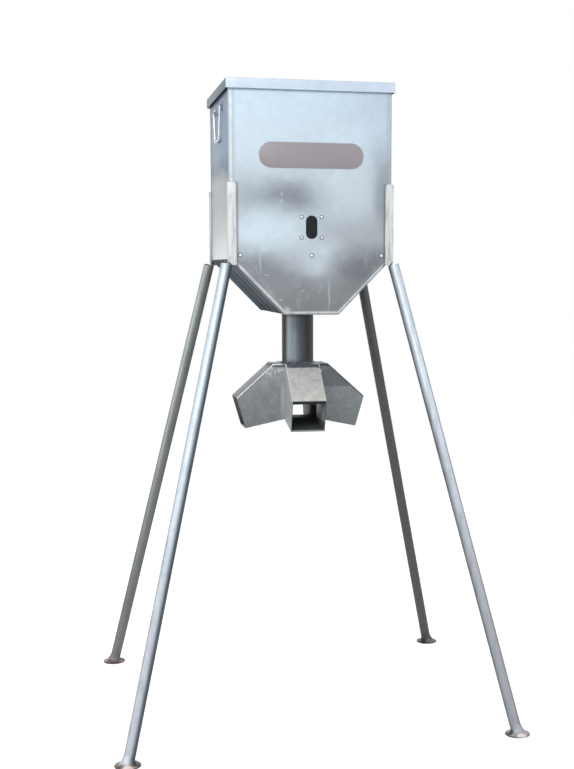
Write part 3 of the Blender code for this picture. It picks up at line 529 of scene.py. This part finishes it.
def head_finish(name, colour, dark, sides=0.0):
    """Dull dipped plate with light spatter and rubbed patches, painted light and shade by the way its faces
    turn, dark inside and on its flat top.
    """
    finish = Finish(name, 0.30, 0.50)
    worn = finish.fade(finish.noise(34, 6, 0.75), 0.42, 0.62)
    base = finish.mix(colour, dark, worn * (0.65 - sides * 0.2))
    # Painted light on faces turned left, painted shade on the roofs' faces turned sideways
    lit = finish.fade(finish.facing_x, -0.8, -0.95)
    base = finish.mix(base, tone(180, 186, 184), lit * 0.8)
    base = finish.mix(base, tone(120, 128, 136), finish.fade(finish.facing_x.size(), 0.4, 0.6) * sides)
    # Painted shade on the top of the right spout
    dull = finish.fade(finish.z, 1.163, 1.168) * finish.fade(finish.x, 0.058, 0.063)
    base = finish.mix(base, tone(98, 102, 107), dull * 0.8)
    spatter = finish.fade(finish.cells(48) + (finish.noise(120, 3, 0.6) - 0.5) * 0.25, 0.12, 0.04)
    base = finish.mix(base, tone(206, 210, 214), spatter * 0.45)
    splash = finish.fade(finish.noise(90, 3, 0.6), 0.44, 0.60)
    left_smear = finish.smudge(finish.x, finish.z, (-0.098, HEAD_TOP - 0.028), (0.034, 0.016))
    right_smear = finish.smudge(finish.x, finish.z, (0.078, HEAD_TOP - 0.022), (0.020, 0.010))
    base = finish.mix(base, tone(206, 211, 216), (left_smear * 0.6 + right_smear * 0.45) * splash)
    # Painted highlight on the bend at the inner corner by the left spout
    bend_highlight = finish.smudge(finish.x, finish.z, (-0.066, 1.120), (0.006, 0.052))
    base = finish.mix(base, tone(176, 182, 182), bend_highlight * 0.6)
    # Painted reflection: the flat top and a strip below it dark
    ragged = finish.z + (finish.noise(60, 3, 0.6) - 0.5) * 0.008
    top = finish.fade(ragged, HEAD_TOP - 0.0125, HEAD_TOP - 0.0095)
    base = finish.mix(base, tone(74, 81, 92), top * 0.9)
    base = finish.mix(base, head_inside_light_and_shade(finish), finish.inward((0, 0, 1.14)) * 0.9)
    # Painted shade along the cut edges round the mouths, and a paler lip at their feet
    reach = finish.x.size().most(finish.y.size())
    past = (reach - MOUTH_TOP[0]) * MOUTH_LEAN[0] + (finish.z - MOUTH_TOP[1]) * MOUTH_LEAN[1]
    base = finish.mix(base, tone(44, 48, 50), finish.fade(past, -0.0022, -0.0012) * 0.8)
    lip = finish.fade(finish.z, MOUTH_FOOT[1] + 0.0040, MOUTH_FOOT[1] + 0.0030)
    base = finish.mix(base, tone(140, 142, 142), lip * finish.fade(reach, 0.2005, 0.2015))
    zinc_coat(finish, base, 0.50)
    return finish


def weld_finish():
    finish = Finish("weld_bead", 0.40, 0.45)
    ripple = finish.noise(220, 2, 0.5)
    colour = finish.mix(tone(72, 78, 92), tone(134, 140, 150), finish.fade(ripple, 0.40, 0.75))
    zinc_coat(finish, colour, 0.45)
    return finish


def plate_finish():
    """Name plate: greige and satin."""
    finish = Finish("bare_plate", 0.15, 0.42)
    colour = finish.mix(tone(163, 157, 160), tone(154, 150, 155), finish.noise(18, 3, 0.5))
    scuff = finish.fade(finish.noise(70, 3, 0.7, (0.3, 1.0, 1.0)), 0.60, 0.75)
    finish.surface("Base Color", finish.mix(colour, tone(192, 186, 188), scuff * 0.4))
    finish.surface("Roughness", 0.42 + scuff * 0.12)
    finish.relief(finish.noise(120, 2, 0.5), 0.1, 0.001)
    return finish


def window_finish():
    finish = Finish("smoked_window", 0.0, 0.14)
    dust = finish.noise(45, 4, 0.6)
    finish.surface("Base Color", finish.mix(tone(12, 16, 19), tone(30, 37, 42), dust))
    finish.surface("Roughness", 0.12 + dust * 0.15)
    finish.relief(dust, 0.05, 0.001)
    return finish


# ---------------------------------------------------------------- making pieces
def clear_choice():
    if bpy.context.object and bpy.context.object.mode != "OBJECT":
        bpy.ops.object.mode_set(mode="OBJECT")
    bpy.ops.object.select_all(action="DESELECT")


def hold(piece):
    """Make one piece the chosen and active one."""
    clear_choice()
    piece.select_set(True)
    bpy.context.view_layer.objects.active = piece


def named(name):
    piece = bpy.context.object
    piece.name = name
    piece.data.name = name
    return piece


def edit(piece, mode="VERT", choice="SELECT"):
    """Go into edit mode with everything chosen, or nothing."""
    hold(piece)
    bpy.ops.object.mode_set(mode="EDIT")
    bpy.ops.mesh.select_mode(type=mode)
    bpy.ops.mesh.select_all(action=choice)


def done():
    bpy.ops.object.mode_set(mode="OBJECT")


def choose_edges(piece, test):
    """Choose the edges whose middle and direction pass a test, then go into edit mode."""
    edit(piece, "EDGE", "DESELECT")
    done()
    for edge in piece.data.edges:
        a, b = (piece.data.vertices[i].co for i in edge.vertices)
        edge.select = test((a + b) / 2, (b - a).normalized())
    bpy.ops.object.mode_set(mode="EDIT")


def bend(piece, test, radius, segments):
    """Round the edges that pass a test."""
    choose_edges(piece, test)
    bpy.ops.mesh.bevel(offset=radius, segments=segments, affect="EDGES", offset_type="OFFSET")
    done()


def place_here(piece):
    """Put the piece's place and size into its mesh."""
    hold(piece)
    bpy.ops.object.transform_apply(location=True, rotation=True, scale=True)


def block(name, middle, size, rotation=(0, 0, 0)):
    """A plain block with its size in its mesh."""
    clear_choice()
    bpy.ops.mesh.primitive_cube_add(size=1, location=middle, rotation=rotation)
    piece = named(name)
    piece.scale = size
    place_here(piece)
    return piece


def shaped(piece, kind, **settings):
    """Add a modifier with its settings, and apply it."""
    hold(piece)
    modifier = piece.modifiers.new(kind.lower(), kind)
    for name, value in settings.items():
        setattr(modifier, name, value)
    bpy.ops.object.modifier_apply(modifier=modifier.name)


def thickened(piece):
    """Give a folded face the thickness of the sheet, inwards."""
    shaped(piece, "SOLIDIFY", thickness=SHEET, offset=-1, use_even_offset=True, use_quality_normals=True)


def outward(piece):
    edit(piece)
    bpy.ops.mesh.remove_doubles(threshold=MERGE)
    bpy.ops.mesh.normals_make_consistent(inside=False)
    done()


def finished(piece, finish, body, slot, *nodes, angle=35):
    """Smooth it, give it its finish, and let it ride on its body in place of its solids."""
    hold(piece)
    bpy.ops.object.shade_smooth_by_angle(angle=math.radians(angle))
    piece.data.materials.clear()
    piece.data.materials.append(finish.material)
    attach(piece, body)
    if nodes:
        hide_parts(*nodes)
    return piece


def hoops(name, rings, sides, caps=True):
    """Skin over a row of rings, each a (centre, direction, radius)."""
    clear_choice()
    for index, (centre, direction, radius) in enumerate(rings):
        turn = Vector(direction).to_track_quat("Z", "Y").to_euler()
        bpy.ops.mesh.primitive_circle_add(vertices=sides, radius=radius, location=centre, rotation=turn)
        if index == 0:
            piece = named(name)
            place_here(piece)
            bpy.ops.object.mode_set(mode="EDIT")
    bpy.ops.mesh.select_mode(type="EDGE")
    bpy.ops.mesh.select_all(action="SELECT")
    bpy.ops.mesh.bridge_edge_loops()
    if caps:
        bpy.ops.mesh.select_all(action="DESELECT")
        bpy.ops.mesh.select_non_manifold()
        bpy.ops.mesh.edge_face_add()
    done()
    outward(piece)
    return piece


def softened(node, name, width, segments=2):
    """A copy of a solid with its edges rounded."""
    hold(frame["nodes"][node])
    bpy.ops.object.duplicate()
    piece = named(name)
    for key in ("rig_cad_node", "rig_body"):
        if key in piece:
            del piece[key]
    piece.parent = None
    edit(piece)
    bpy.ops.mesh.remove_doubles(threshold=MERGE)
    bpy.ops.mesh.dissolve_limited(angle_limit=math.radians(1))
    bpy.ops.mesh.vert_connect_concave()
    done()
    shaped(piece, "BEVEL", width=width, segments=segments, limit_method="ANGLE", angle_limit=math.radians(30))
    edit(piece)
    bpy.ops.mesh.vert_connect_concave()
    done()
    return piece


def dressed(node, name, width, finish, slot, segments=2, body="stand"):
    """A softened copy in place of a solid, with its finish."""
    return finished(softened(node, name, width, segments), finish, body, slot, node)


def repeated(piece, places):
    """Give a piece modelled at one spot, and copies with meshes of their own, their names and places."""
    pieces = [piece]
    while len(pieces) < len(places):
        hold(piece)
        bpy.ops.object.duplicate()
        pieces.append(bpy.context.object)
    for each, (name, place) in zip(pieces, places):
        each.name = name
        each.data.name = name
        each.data.transform(place)
        if place.determinant() < 0:
            each.data.flip_normals()
    return pieces


def rod(name, points, radius, sides, radii=None, closed=False):
    """A round bar along points, made as a curve and turned into a mesh."""
    clear_choice()
    curve = bpy.data.curves.new(name, "CURVE")
    curve.dimensions = "3D"
    curve.bevel_depth = radius
    curve.bevel_resolution = sides
    curve.use_fill_caps = True
    spline = curve.splines.new("POLY")
    spline.points.add(len(points) - 1)
    for point, spot, swell in zip(spline.points, points, radii or [1] * len(points)):
        point.co = (*spot, 1)
        point.radius = swell
    spline.use_cyclic_u = closed
    piece = bpy.data.objects.new(name, curve)
    bpy.context.scene.collection.objects.link(piece)
    hold(piece)
    bpy.ops.object.convert(target="MESH")
    piece = bpy.context.object
    outward(piece)
    return piece


def line_points(start, end, count):
    start, end = Vector(start), Vector(end)
    return [start.lerp(end, i / (count - 1)) for i in range(count)]


def bead(name, points, radius, closed=False):
    """Weld bead: a bar whose thickness ripples along it."""
    radii = [1 + 0.16 * math.sin(i * 2.1) + 0.08 * math.sin(i * 0.7 + 1) for i in range(len(points))]
    return rod(name, points, radius, 3, radii, closed)


def weld_ring(name, radius, height, thickness):
    """Weld bead all round the pipe."""
    turns = [step / WELD_STEPS * math.tau for step in range(WELD_STEPS)]
    points = [(math.cos(turn) * radius, math.sin(turn) * radius, height) for turn in turns]
    finished(bead(name, points, thickness, closed=True), WELD, "stand", "head")


# ---------------------------------------------------------------- the pieces
def wall_panel(name, side):
    """Front or rear panel: one sheet trimmed to its outline, folded back with soft bends."""
    clear_choice()
    height = WALL_TOP - FUNNEL_BOTTOM
    bpy.ops.mesh.primitive_plane_add(size=1, location=(0, side * HALF_DEPTH, FUNNEL_BOTTOM + height / 2),
                                     rotation=(math.pi / 2, 0, 0))
    piece = named(name)
    piece.scale = (2 * HALF_WIDTH, height, 1)
    place_here(piece)
    for way in (-1, 1):
        edit(piece, "EDGE")
        normal = Vector((way * (CORNER - FUNNEL_BOTTOM), 0, -(HALF_WIDTH - HALF_BOTTOM))).normalized()
        bpy.ops.mesh.bisect(plane_co=(way * HALF_WIDTH, 0, CORNER), plane_no=normal, clear_outer=True)
        done()
    choose_edges(piece, lambda middle, way: middle.z < WALL_TOP - NEAR)
    bpy.ops.mesh.extrude_region_move(TRANSFORM_OT_translate={"value": (0, -side * FOLD_DEPTH, 0)})
    done()
    outward(piece)
    bend(piece, lambda middle, way: abs(middle.y - side * HALF_DEPTH) < NEAR and middle.z < WALL_TOP - NEAR,
         FOLD_RADIUS, 8)
    outward(piece)
    flat = max(piece.data.polygons, key=lambda face: face.area)
    if flat.normal.y * side < 0:
        piece.data.flip_normals()
    thickened(piece)
    return piece


def slot_cutter():
    """Upright block with round ends, for the sight window."""
    cutter = block("slot_cutter", (0, -HALF_DEPTH, SLOT_HEIGHT), (SLOT_WIDTH, 0.02, SLOT_LENGTH))
    bend(cutter, lambda middle, way: abs(way.y) > 0.9, SLOT_WIDTH / 2 - 0.0002, 12)
    return cutter


def cut(piece, cutter):
    shaped(piece, "BOOLEAN", operation="DIFFERENCE", solver="MANIFOLD", object=cutter)
    bpy.data.objects.remove(cutter, do_unlink=True)


def make_panels():
    front = wall_panel("front_sheet", -1)
    cut(front, slot_cutter())
    finished(front, FRONT, "stand", "sheet", "front_panel")
    finished(wall_panel("rear_sheet", 1), PLAIN, "stand", "sheet", "rear_panel")
    for side, wall, slope in (("left", SIDE_REFLECTION, SHADED_SLOPE), ("right", PLAIN, BOTTOM)):
        dressed(f"{side}_side_panel", f"{side}_wall", 0.0005, wall, "sheet")
        dressed(f"{side}_slope_panel", f"{side}_slope", 0.0005, slope, "sheet")
    dressed("bottom_plate", "funnel_floor", 0.0004, BOTTOM, "sheet")
    for side in ("front", "rear"):
        dressed(f"{side}_inner_slope", f"{side}_ramp", 0.0004, INSIDE, "sheet")


def make_lid():
    """Lid: a pan with a folded lip, soft at its top edges and corners."""
    pan = block("lid_pan", (0, 0, (LID_EDGE + LID_TOP) / 2),
                (2 * LID_REACH, 2 * LID_REACH, LID_TOP - LID_EDGE))
    edit(pan, "FACE", "DESELECT")
    done()
    for face in pan.data.polygons:
        face.select = face.normal.z < -0.5
    bpy.ops.object.mode_set(mode="EDIT")
    bpy.ops.mesh.delete(type="FACE")
    done()
    bend(pan, lambda middle, way: middle.z > LID_TOP - NEAR or abs(way.z) > 0.9, LID_FOLD, 4)
    thickened(pan)
    finished(pan, LID, "lid", "sheet", "lid")


def turned_piece(name, profile, sides=24):
    """A round piece on the origin that points to the front, from its (lift, radius) rings."""
    forward = Vector((0, -1, 0))
    return hoops(name, [(forward * lift, forward, radius) for lift, radius in profile], sides)


def on_face(node, side):
    """The middle of a fastener's solid, on the outer face of the front or rear panel."""
    low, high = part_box(node)
    middle = (low + high) / 2
    turn = Matrix.Rotation(math.pi if side > 0 else 0.0, 4, "Z")
    return Matrix.Translation((middle.x, side * (HALF_DEPTH + GAP), middle.z)) @ turn


def fasten(nodes, spots, piece, part):
    """Put a part of a fastener at every spot. The head takes the place of the solid."""
    pieces = repeated(piece, [(f"{node}_{part}", spot) for node, spot in zip(nodes, spots)])
    for node, each in zip(nodes, pieces):
        finished(each, RIVET, "stand", "fastener", *([node] if part == "head" else []))


def make_rivets():
    """Blind rivets: a domed head outside, and the swelled tail inside."""
    nodes = [f"{side}_rivet_{index}" for side in ("front", "rear") for index in (1, 2, 3)]
    spots = [on_face(node, -1 if node.startswith("front") else 1) for node in nodes]
    head = turned_piece("rivet_head", [(0.0, 0.0055), (0.0006, 0.0055), (0.0014, 0.0051), (0.0022, 0.0042),
                                       (0.0028, 0.0028), (0.00295, 0.0012)])
    fasten(nodes, spots, head, "head")
    tail = turned_piece("rivet_tail", [(-0.0084, 0.0014), (-0.0080, 0.0024), (-0.0066, 0.0033),
                                       (-0.0048, 0.0033), (-0.0038, 0.0026), (-0.0026, 0.0024)], 16)
    fasten(nodes, spots, tail, "tail")


def make_screws():
    """Machine screws round the sight window: pan heads with a cross recess, shanks with nuts inside."""
    head = turned_piece("screw_head", [(0.0, 0.0046), (0.0010, 0.0046), (0.0020, 0.0042), (0.0027, 0.0032),
                                       (0.0030, 0.0015)])
    for turn in (0, math.pi / 2):
        cut(head, block("cross_cutter", (0, -0.003, 0), (0.0042, 0.0026, 0.0009), (0, turn, 0)))
    nut = turned_piece("screw_nut", [(-0.0066, 0.0040), (-0.0062, 0.0044), (-0.0038, 0.0044),
                                     (-0.0034, 0.0040)], 6)
    shank = turned_piece("screw_shank", [(-0.0100, 0.0014), (-0.0096, 0.0018), (-0.0020, 0.0018)], 16)
    hold(nut)
    shank.select_set(True)
    bpy.ops.object.join()
    nodes = [f"window_screw_{index}" for index in range(1, 5)]
    spots = [on_face(node, -1) @ Matrix.Rotation(0.4 * turn, 4, "Y") for turn, node in enumerate(nodes, 1)]
    fasten(nodes, spots, head, "head")
    fasten(nodes, spots, nut, "nut")


def make_brackets():
    for corner, finish in BRACKETS.items():
        dressed(f"{corner}_bracket", f"{corner}_angle", 0.0012, finish, "bracket", segments=3)
        dressed(f"{corner}_stub", f"{corner}_socket", 0.0004, SOCKET, "tube")


def make_legs():
    """One leg tube and one flared foot, mirrored to the four corners."""
    up = (LEG_TOP - FOOT_SPOT).normalized()
    neck = FOOT_SPOT + up * (FOOT_NECK / up.z)
    tube = hoops("leg_tube", [(neck, up, TUBE_RADIUS), (neck.lerp(LEG_TOP, 0.5), up, TUBE_RADIUS),
                              (LEG_TOP, up, TUBE_RADIUS)], TUBE_SIDES, caps=False)
    shaped(tube, "SOLIDIFY", thickness=TUBE_WALL, offset=-1)
    shaped(tube, "BEVEL", width=0.0004, segments=2, limit_method="ANGLE", angle_limit=math.radians(50))
    level = Vector((0, 0, 1))
    rings = [(neck, up, TUBE_RADIUS)]
    for step in range(1, FLARE_STEPS + 1):
        share = step / FLARE_STEPS
        height = FOOT_RIM + (FOOT_NECK - FOOT_RIM) * (1 - share) ** 1.6
        radius = TUBE_RADIUS + (FOOT_RADIUS - 0.001 - TUBE_RADIUS) * share ** 2.2
        tilt = up.lerp(level, share).normalized()
        centre = FOOT_SPOT + up * (height / up.z) * (1 - share) + level * height * share
        rings.append((centre, tilt, radius))
    rings += [(FOOT_SPOT + level * height, level, FOOT_RADIUS - inset) for height, inset in FOOT_EDGE]
    flare = hoops("foot_flare", rings, TUBE_SIDES)
    mirrors = [(corner, Matrix.Diagonal((*sides, 1, 1))) for corner, sides in CORNERS.items()]
    tubes = repeated(tube, [(f"{corner}_tube", mirror) for corner, mirror in mirrors])
    flares = repeated(flare, [(f"{corner}_flare", mirror) for corner, mirror in mirrors])
    for corner, leg, foot in zip(CORNERS, tubes, flares):
        finished(leg, LEGS[corner], "stand", "tube", f"{corner}_leg")
        finished(foot, FEET[corner], "stand", "tube", f"{corner}_foot", angle=60)


def make_pipe():
    low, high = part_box("down_pipe")
    up = Vector((0, 0, 1))
    pipe = hoops("drop_tube", [(up * level, up, PIPE_RADIUS) for level in (low.z, high.z)], 64, caps=False)
    shaped(pipe, "SOLIDIFY", thickness=PIPE_WALL, offset=-1)
    finished(pipe, PIPE, "stand", "tube", "down_pipe")


def make_head():
    """Four-way head: its roof, its floor and the bent plates between the spouts."""
    dressed("head_cover", "head_roof", 0.0007, LIT_ROOF, "head", segments=3)
    dressed("head_floor", "head_tray", 0.0008, HEAD, "head")
    for corner in CORNERS:
        dressed(f"head_{corner}_corner", f"head_{corner}_cheek", 0.0008, HEAD, "head")


def make_trim():
    """Welds round the pipe and along the roofs, and the folds at the top and foot of each mouth."""
    weld_ring("pipe_weld", PIPE_RADIUS + 0.0018, HEAD_TOP + 0.0012, 0.0042)
    weld_ring("funnel_weld", PIPE_RADIUS + 0.001, FUNNEL_BOTTOM + 0.0004, 0.0026)
    quarters = list(enumerate((Matrix.Rotation(math.pi / 2 * turn, 4, "Z") for turn in range(4)), 1))
    for name, finish, reach, level, height in (
            ("mouth_lip", LIP, MOUTH_FOOT[0] - 0.0010, MOUTH_FOOT[1] + 0.0032, 0.0056),
            # The fold at the top is a dark strip of painted shade
            ("mouth_fold", BROW, MOUTH_TOP[0] - 0.0050, MOUTH_TOP[1] - 0.0050, 0.0110)):
        strip = block(name, (0, -reach, level), (2 * HALF_SPOUT - 0.0044, 0.0014, height))
        shaped(strip, "BEVEL", width=0.0005, segments=2)
        for piece in repeated(strip, [(f"{name}_{index}", turn) for index, turn in quarters]):
            finished(piece, finish, "stand", "head")
    edge = HALF_SPOUT - 0.0008
    start = (FLAT_REACH, edge, HEAD_TOP - 0.0026)
    end = (MOUTH_TOP[0] - 0.003, edge, MOUTH_TOP[1] - 0.0015)
    points = [(HALF_SPOUT + 0.004, edge, HEAD_TOP - 0.0022)] + line_points(start, end, 50)
    flip = Matrix.Diagonal((1, -1, 1, 1))
    places = []
    for index, turn in quarters:
        places += [(f"roof_weld_{index}_a", turn), (f"roof_weld_{index}_b", turn @ flip)]
    for piece in repeated(bead("roof_weld", points, 0.0022), places):
        finished(piece, SHADED_SEAM if piece.name.startswith("roof_weld_1") else SEAM, "stand", "head")


def bail_path():
    """Middle line of a hanging bail, in y and z from its pivot."""
    right = ((BAIL_GRIP, -BAIL_DROP), (BAIL_SPREAD, 0), (BAIL_TIP, 0))
    corners = [Vector((-y, z)) for y, z in reversed(right)] + [Vector(corner) for corner in right]
    path = [corners[0]]
    for before, corner, after in zip(corners, corners[1:], corners[2:]):
        start = corner + (before - corner).normalized() * BAIL_BEND
        end = corner + (after - corner).normalized() * BAIL_BEND
        for step in range(BEND_STEPS + 1):
            share = step / BEND_STEPS
            path.append(start.lerp(corner, share).lerp(corner.lerp(end, share), share))
    return path + [corners[-1]]


def make_handles():
    """Wire bails, hanging, and their eye plates."""
    places = []
    for name in ("left", "right"):
        low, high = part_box(f"{name}_handle")
        places.append((f"{name}_bail_rod", Matrix.Translation(((low.x + high.x) / 2, 0, high.z - BAIL_ROD))))
    bails = repeated(rod("bail_rod", [(0, p.x, p.y) for p in bail_path()], BAIL_ROD, 5), places)
    for name, finish, bail in zip(("left", "right"), (SIDE_REFLECTION, PLAIN), bails):
        finished(bail, RIVET, f"{name}_bail", "fastener", f"{name}_handle", angle=50)
        dressed(f"{name}_handle_bracket", f"{name}_eye_plate", 0.0005, finish, "sheet")


def make_hinges():
    """Hinge leaves, each held by three small rivets; the pins keep their solids."""
    names, spots, bodies = [], [], []
    half_turn = Matrix.Rotation(math.pi, 4, "Z")
    for side in ("left", "right"):
        for body, face in (("lid", LID_REACH + 0.0003), ("stand", HALF_DEPTH + GAP)):
            part = "lid_leaf" if body == "lid" else "body_leaf"
            node = f"{side}_hinge_{part}"
            dressed(node, f"{side}_{part}", 0.0003, RIVET, "fastener", body=body)
            low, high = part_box(node)
            level = high.z - 0.007 if body == "lid" else low.z + 0.009
            for index, share in enumerate((0.18, 0.5, 0.82), 1):
                spot = Matrix.Translation((low.x + (high.x - low.x) * share, face + SHEET, level))
                names.append(f"{node}_rivet_{index}")
                spots.append(spot @ half_turn)
                bodies.append(body)
        pin = frame["nodes"][f"{side}_hinge_pin"]
        pin.data.materials.clear()
        pin.data.materials.append(RIVET.material)
    head = turned_piece("hinge_rivet", [(0.0, 0.0036), (0.0006, 0.0036), (0.0013, 0.0028),
                                        (0.0017, 0.0015)], 16)
    for piece, body in zip(repeated(head, list(zip(names, spots))), bodies):
        finished(piece, RIVET, body, "fastener")


def make_plate_and_window():
    dressed("badge_plate", "name_plate", 0.0003, PLATE, "plate")
    dressed("sight_window", "sight_sheet", 0.0004, WINDOW, "window")


# ---------------------------------------------------------------- stage
# Lamps: name, place, size and watts
LAMPS = (("key", (-2.4, -4.6, 4.8), 3.6, 228), ("fill", (3.6, -3.2, 2.4), 2.8, 42),
         ("side", (-4.6, -1.2, 1.8), 2.4, 45), ("back", (1.2, 4.2, 4.4), 3.2, 120))
LAMP_AIM = Vector((0, 0, 1.4))
SKY = (0.93, 0.96, 1.0, 1)      # what lights the object from all round
SKY_STRENGTH = 0.32
WHITE = (1, 1, 1, 1)
FLOOR_SHINE = 0.90
FLOOR_TONE = (0.35, 0.35, 0.35, 1)


def seen(wiring):
    """1 for camera, reflection and see-through rays."""
    camera, glossy, through = (wiring.node("ShaderNodeLightPath", {}, {}, f"Is {ray} Ray")
                               for ray in ("Camera", "Glossy", "Transmission"))
    return camera.most(glossy).most(through)


def floor_material():
    """White to the camera and in reflections, with the object's shadow on it; clear from below."""
    material = bpy.data.materials.new("pale_floor")
    material.use_nodes = True
    floor = Wiring(material.node_tree)
    floor.tree.nodes.remove(floor.tree.nodes["Principled BSDF"])
    matte = floor.node("ShaderNodeBsdfDiffuse", {}, {0: FLOOR_TONE})
    shine = floor.node("ShaderNodeEmission", {}, {0: WHITE, 1: FLOOR_SHINE})
    bright = floor.node("ShaderNodeAddShader", {}, {0: matte, 1: shine})
    above = floor.blend(matte, bright, seen(floor))
    below = floor.node("ShaderNodeBsdfTransparent", {}, {})
    turned = floor.node("ShaderNodeNewGeometry", {}, {}, "Backfacing")
    floor.put(floor.blend(above, below, turned), floor.tree.nodes["Material Output"].inputs["Surface"])
    return material


def make_floor():
    clear_choice()
    bpy.ops.mesh.primitive_plane_add(size=40, location=(0, 0, -0.0005))
    floor = named("floor")
    place_here(floor)
    floor.data.materials.append(floor_material())


def make_sky():
    """White behind the object, and a soft blue-white light on it."""
    world = bpy.data.worlds.new("studio")
    bpy.context.scene.world = world
    world.use_nodes = True
    sky = Wiring(world.node_tree)
    light = sky.tree.nodes["Background"]
    sky.put(SKY, light.inputs["Color"])
    sky.put(SKY_STRENGTH, light.inputs["Strength"])
    white = sky.node("ShaderNodeBackground", {}, {0: WHITE})
    both = sky.blend(Link(sky, light.outputs[0]), white, seen(sky))
    sky.put(both, sky.tree.nodes["World Output"].inputs["Surface"])


def make_lamps():
    for name, place, size, watts in LAMPS:
        light = bpy.data.lights.new(name, "AREA")
        light.size = size
        light.energy = watts
        lamp = bpy.data.objects.new(name, light)
        bpy.context.scene.collection.objects.link(lamp)
        lamp.location = place
        lamp.rotation_euler = (LAMP_AIM - Vector(place)).to_track_quat("-Z", "Y").to_euler()


# The photograph's viewpoint, from a fit of the solids to it; the first three in its pixels
PICTURE = (574, 769)
FOCAL = 1284.5
OPTIC_CENTRE = (358.04, 414.67)
VIEWPOINT = (-0.8234, -4.6101, 1.5796)
VIEW_RIGHT = (0.97509004, -0.22180203, 0.00180784)
VIEW_UP = (0.02283917, 0.10850636, 0.99383336)
VIEW_BACK = (-0.22063042, -0.96903572, 0.11086924)


def make_camera():
    data = bpy.data.cameras.new("camera")
    camera = bpy.data.objects.new("camera", data)
    bpy.context.scene.collection.objects.link(camera)
    turn = Matrix((VIEW_RIGHT, VIEW_UP, VIEW_BACK)).transposed().to_4x4()
    camera.matrix_world = Matrix.Translation(VIEWPOINT) @ turn
    width, height = PICTURE
    data.sensor_width = 36
    data.lens = FOCAL * data.sensor_width / height
    data.shift_x = (width / 2 - OPTIC_CENTRE[0]) / height
    data.shift_y = (OPTIC_CENTRE[1] - height / 2) / height
    data.clip_end = 100
    bpy.context.scene.camera = camera


# ---------------------------------------------------------------- the whole
FRONT = front_finish()
SIDE_REFLECTION = side_reflection_finish()
LID = lid_finish()
PLAIN = plain_zinc("rear_sheet", tone(190, 200, 210), wave=1.2)
SHADED_SLOPE = shaded_slope_finish()
BOTTOM = plain_zinc("bottom_sheet", tone(122, 131, 136), metallic=0.20, roughness=0.55)
INSIDE = plain_zinc("inner_sheet", tone(150, 156, 162))
SOCKET = plain_zinc("socket_tube", tone(120, 126, 132))
REAR_TONES = (tone(210, 214, 215), tone(172, 175, 176))
BRACKETS = {corner: bracket_finish(f"{corner}_bracket_zinc", *tones) for corner, tones in (
    ("front_left", (tone(229, 232, 234), tone(206, 208, 210))),
    ("front_right", (tone(227, 230, 229), tone(192, 194, 194))),
    ("rear_left", REAR_TONES), ("rear_right", REAR_TONES))}
# Legs and feet: six tones, those of the rear legs painted darker as shade, the way their painted dark side is
# turned, how dark their painted flanks are, and where from its middle the pad has its painted highlight and
# painted shadow
LOOK_PARTS = ("top", "low", "shade", "pad", "worn", "glint", "turned", "flank", "painted_highlight", "painted_shadow")
LOOK_TABLE = {
    "front_left": ((208, 220, 232), (203, 209, 218), (92, 103, 111), (150, 132, 124), (96, 86, 82),
                   (236, 224, 222), (0.97, 0.10), 0.30, (-0.002, -0.035), (0.031, -0.012)),
    "front_right": ((214, 224, 234), (178, 180, 186), (166, 174, 182), (176, 178, 178), (128, 128, 128),
                    (240, 224, 226), (-1, 0.35), 0.60, (0.002, -0.035), (-0.033, -0.002)),
    "rear_left": ((180, 186, 188), (140, 143, 142), (128, 132, 131), (126, 104, 106), (104, 88, 88),
                  (176, 166, 156), (0.7, -0.5), 0.35, (-0.034, -0.006), (0.024, 0.008)),
    "rear_right": ((162, 167, 172), (136, 140, 142), (98, 98, 101), (118, 116, 112), (74, 72, 70),
                   (160, 158, 152), (0.0, -1), 0.25, (0.032, -0.004), (-0.026, -0.022)),
}
LOOKS = {corner: dict(zip(LOOK_PARTS, [tone(*colour) for colour in row[:6]] + list(row[6:])))
         for corner, row in LOOK_TABLE.items()}
LEGS = {corner: tube_finish(f"{corner}_tube_zinc", look) for corner, look in LOOKS.items()}
FEET = {corner: foot_finish(f"{corner}_foot_zinc", look, corner) for corner, look in LOOKS.items()}
PIPE = pipe_finish()
# The roofs take the head's plate lighter, as painted light on faces turned up, with painted shade on their
# side faces
HEAD = head_finish("head_plate", tone(138, 143, 146), tone(116, 121, 124))
LIT_ROOF = head_finish("lit_roof_plate", tone(214, 214, 210), tone(172, 172, 168), 0.85)
WELD = weld_finish()
# Roof welds: pale with painted highlight, and on the right spout dark with painted shade
SEAM = plain_zinc("seam_zinc", tone(240, 243, 243), roughness=0.40)
SHADED_SEAM = plain_zinc("shaded_seam_zinc", tone(98, 102, 107), roughness=0.50)
BROW = plain_zinc("shaded_fold", tone(34, 37, 38), metallic=0.10, roughness=0.60)
LIP = plain_zinc("lip_zinc", tone(150, 152, 152), metallic=0.25, roughness=0.50)
RIVET = plain_zinc("rivet_zinc", tone(236, 240, 244), metallic=0.50, roughness=0.34)
PLATE = plate_finish()
WINDOW = window_finish()

make_panels()
make_lid()
make_rivets()
make_screws()
make_brackets()
make_legs()
make_pipe()
make_head()
make_trim()
make_handles()
make_hinges()
make_plate_and_window()
make_floor()
make_sky()
make_lamps()
make_camera()

bpy.context.scene.view_settings.view_transform = "Standard"
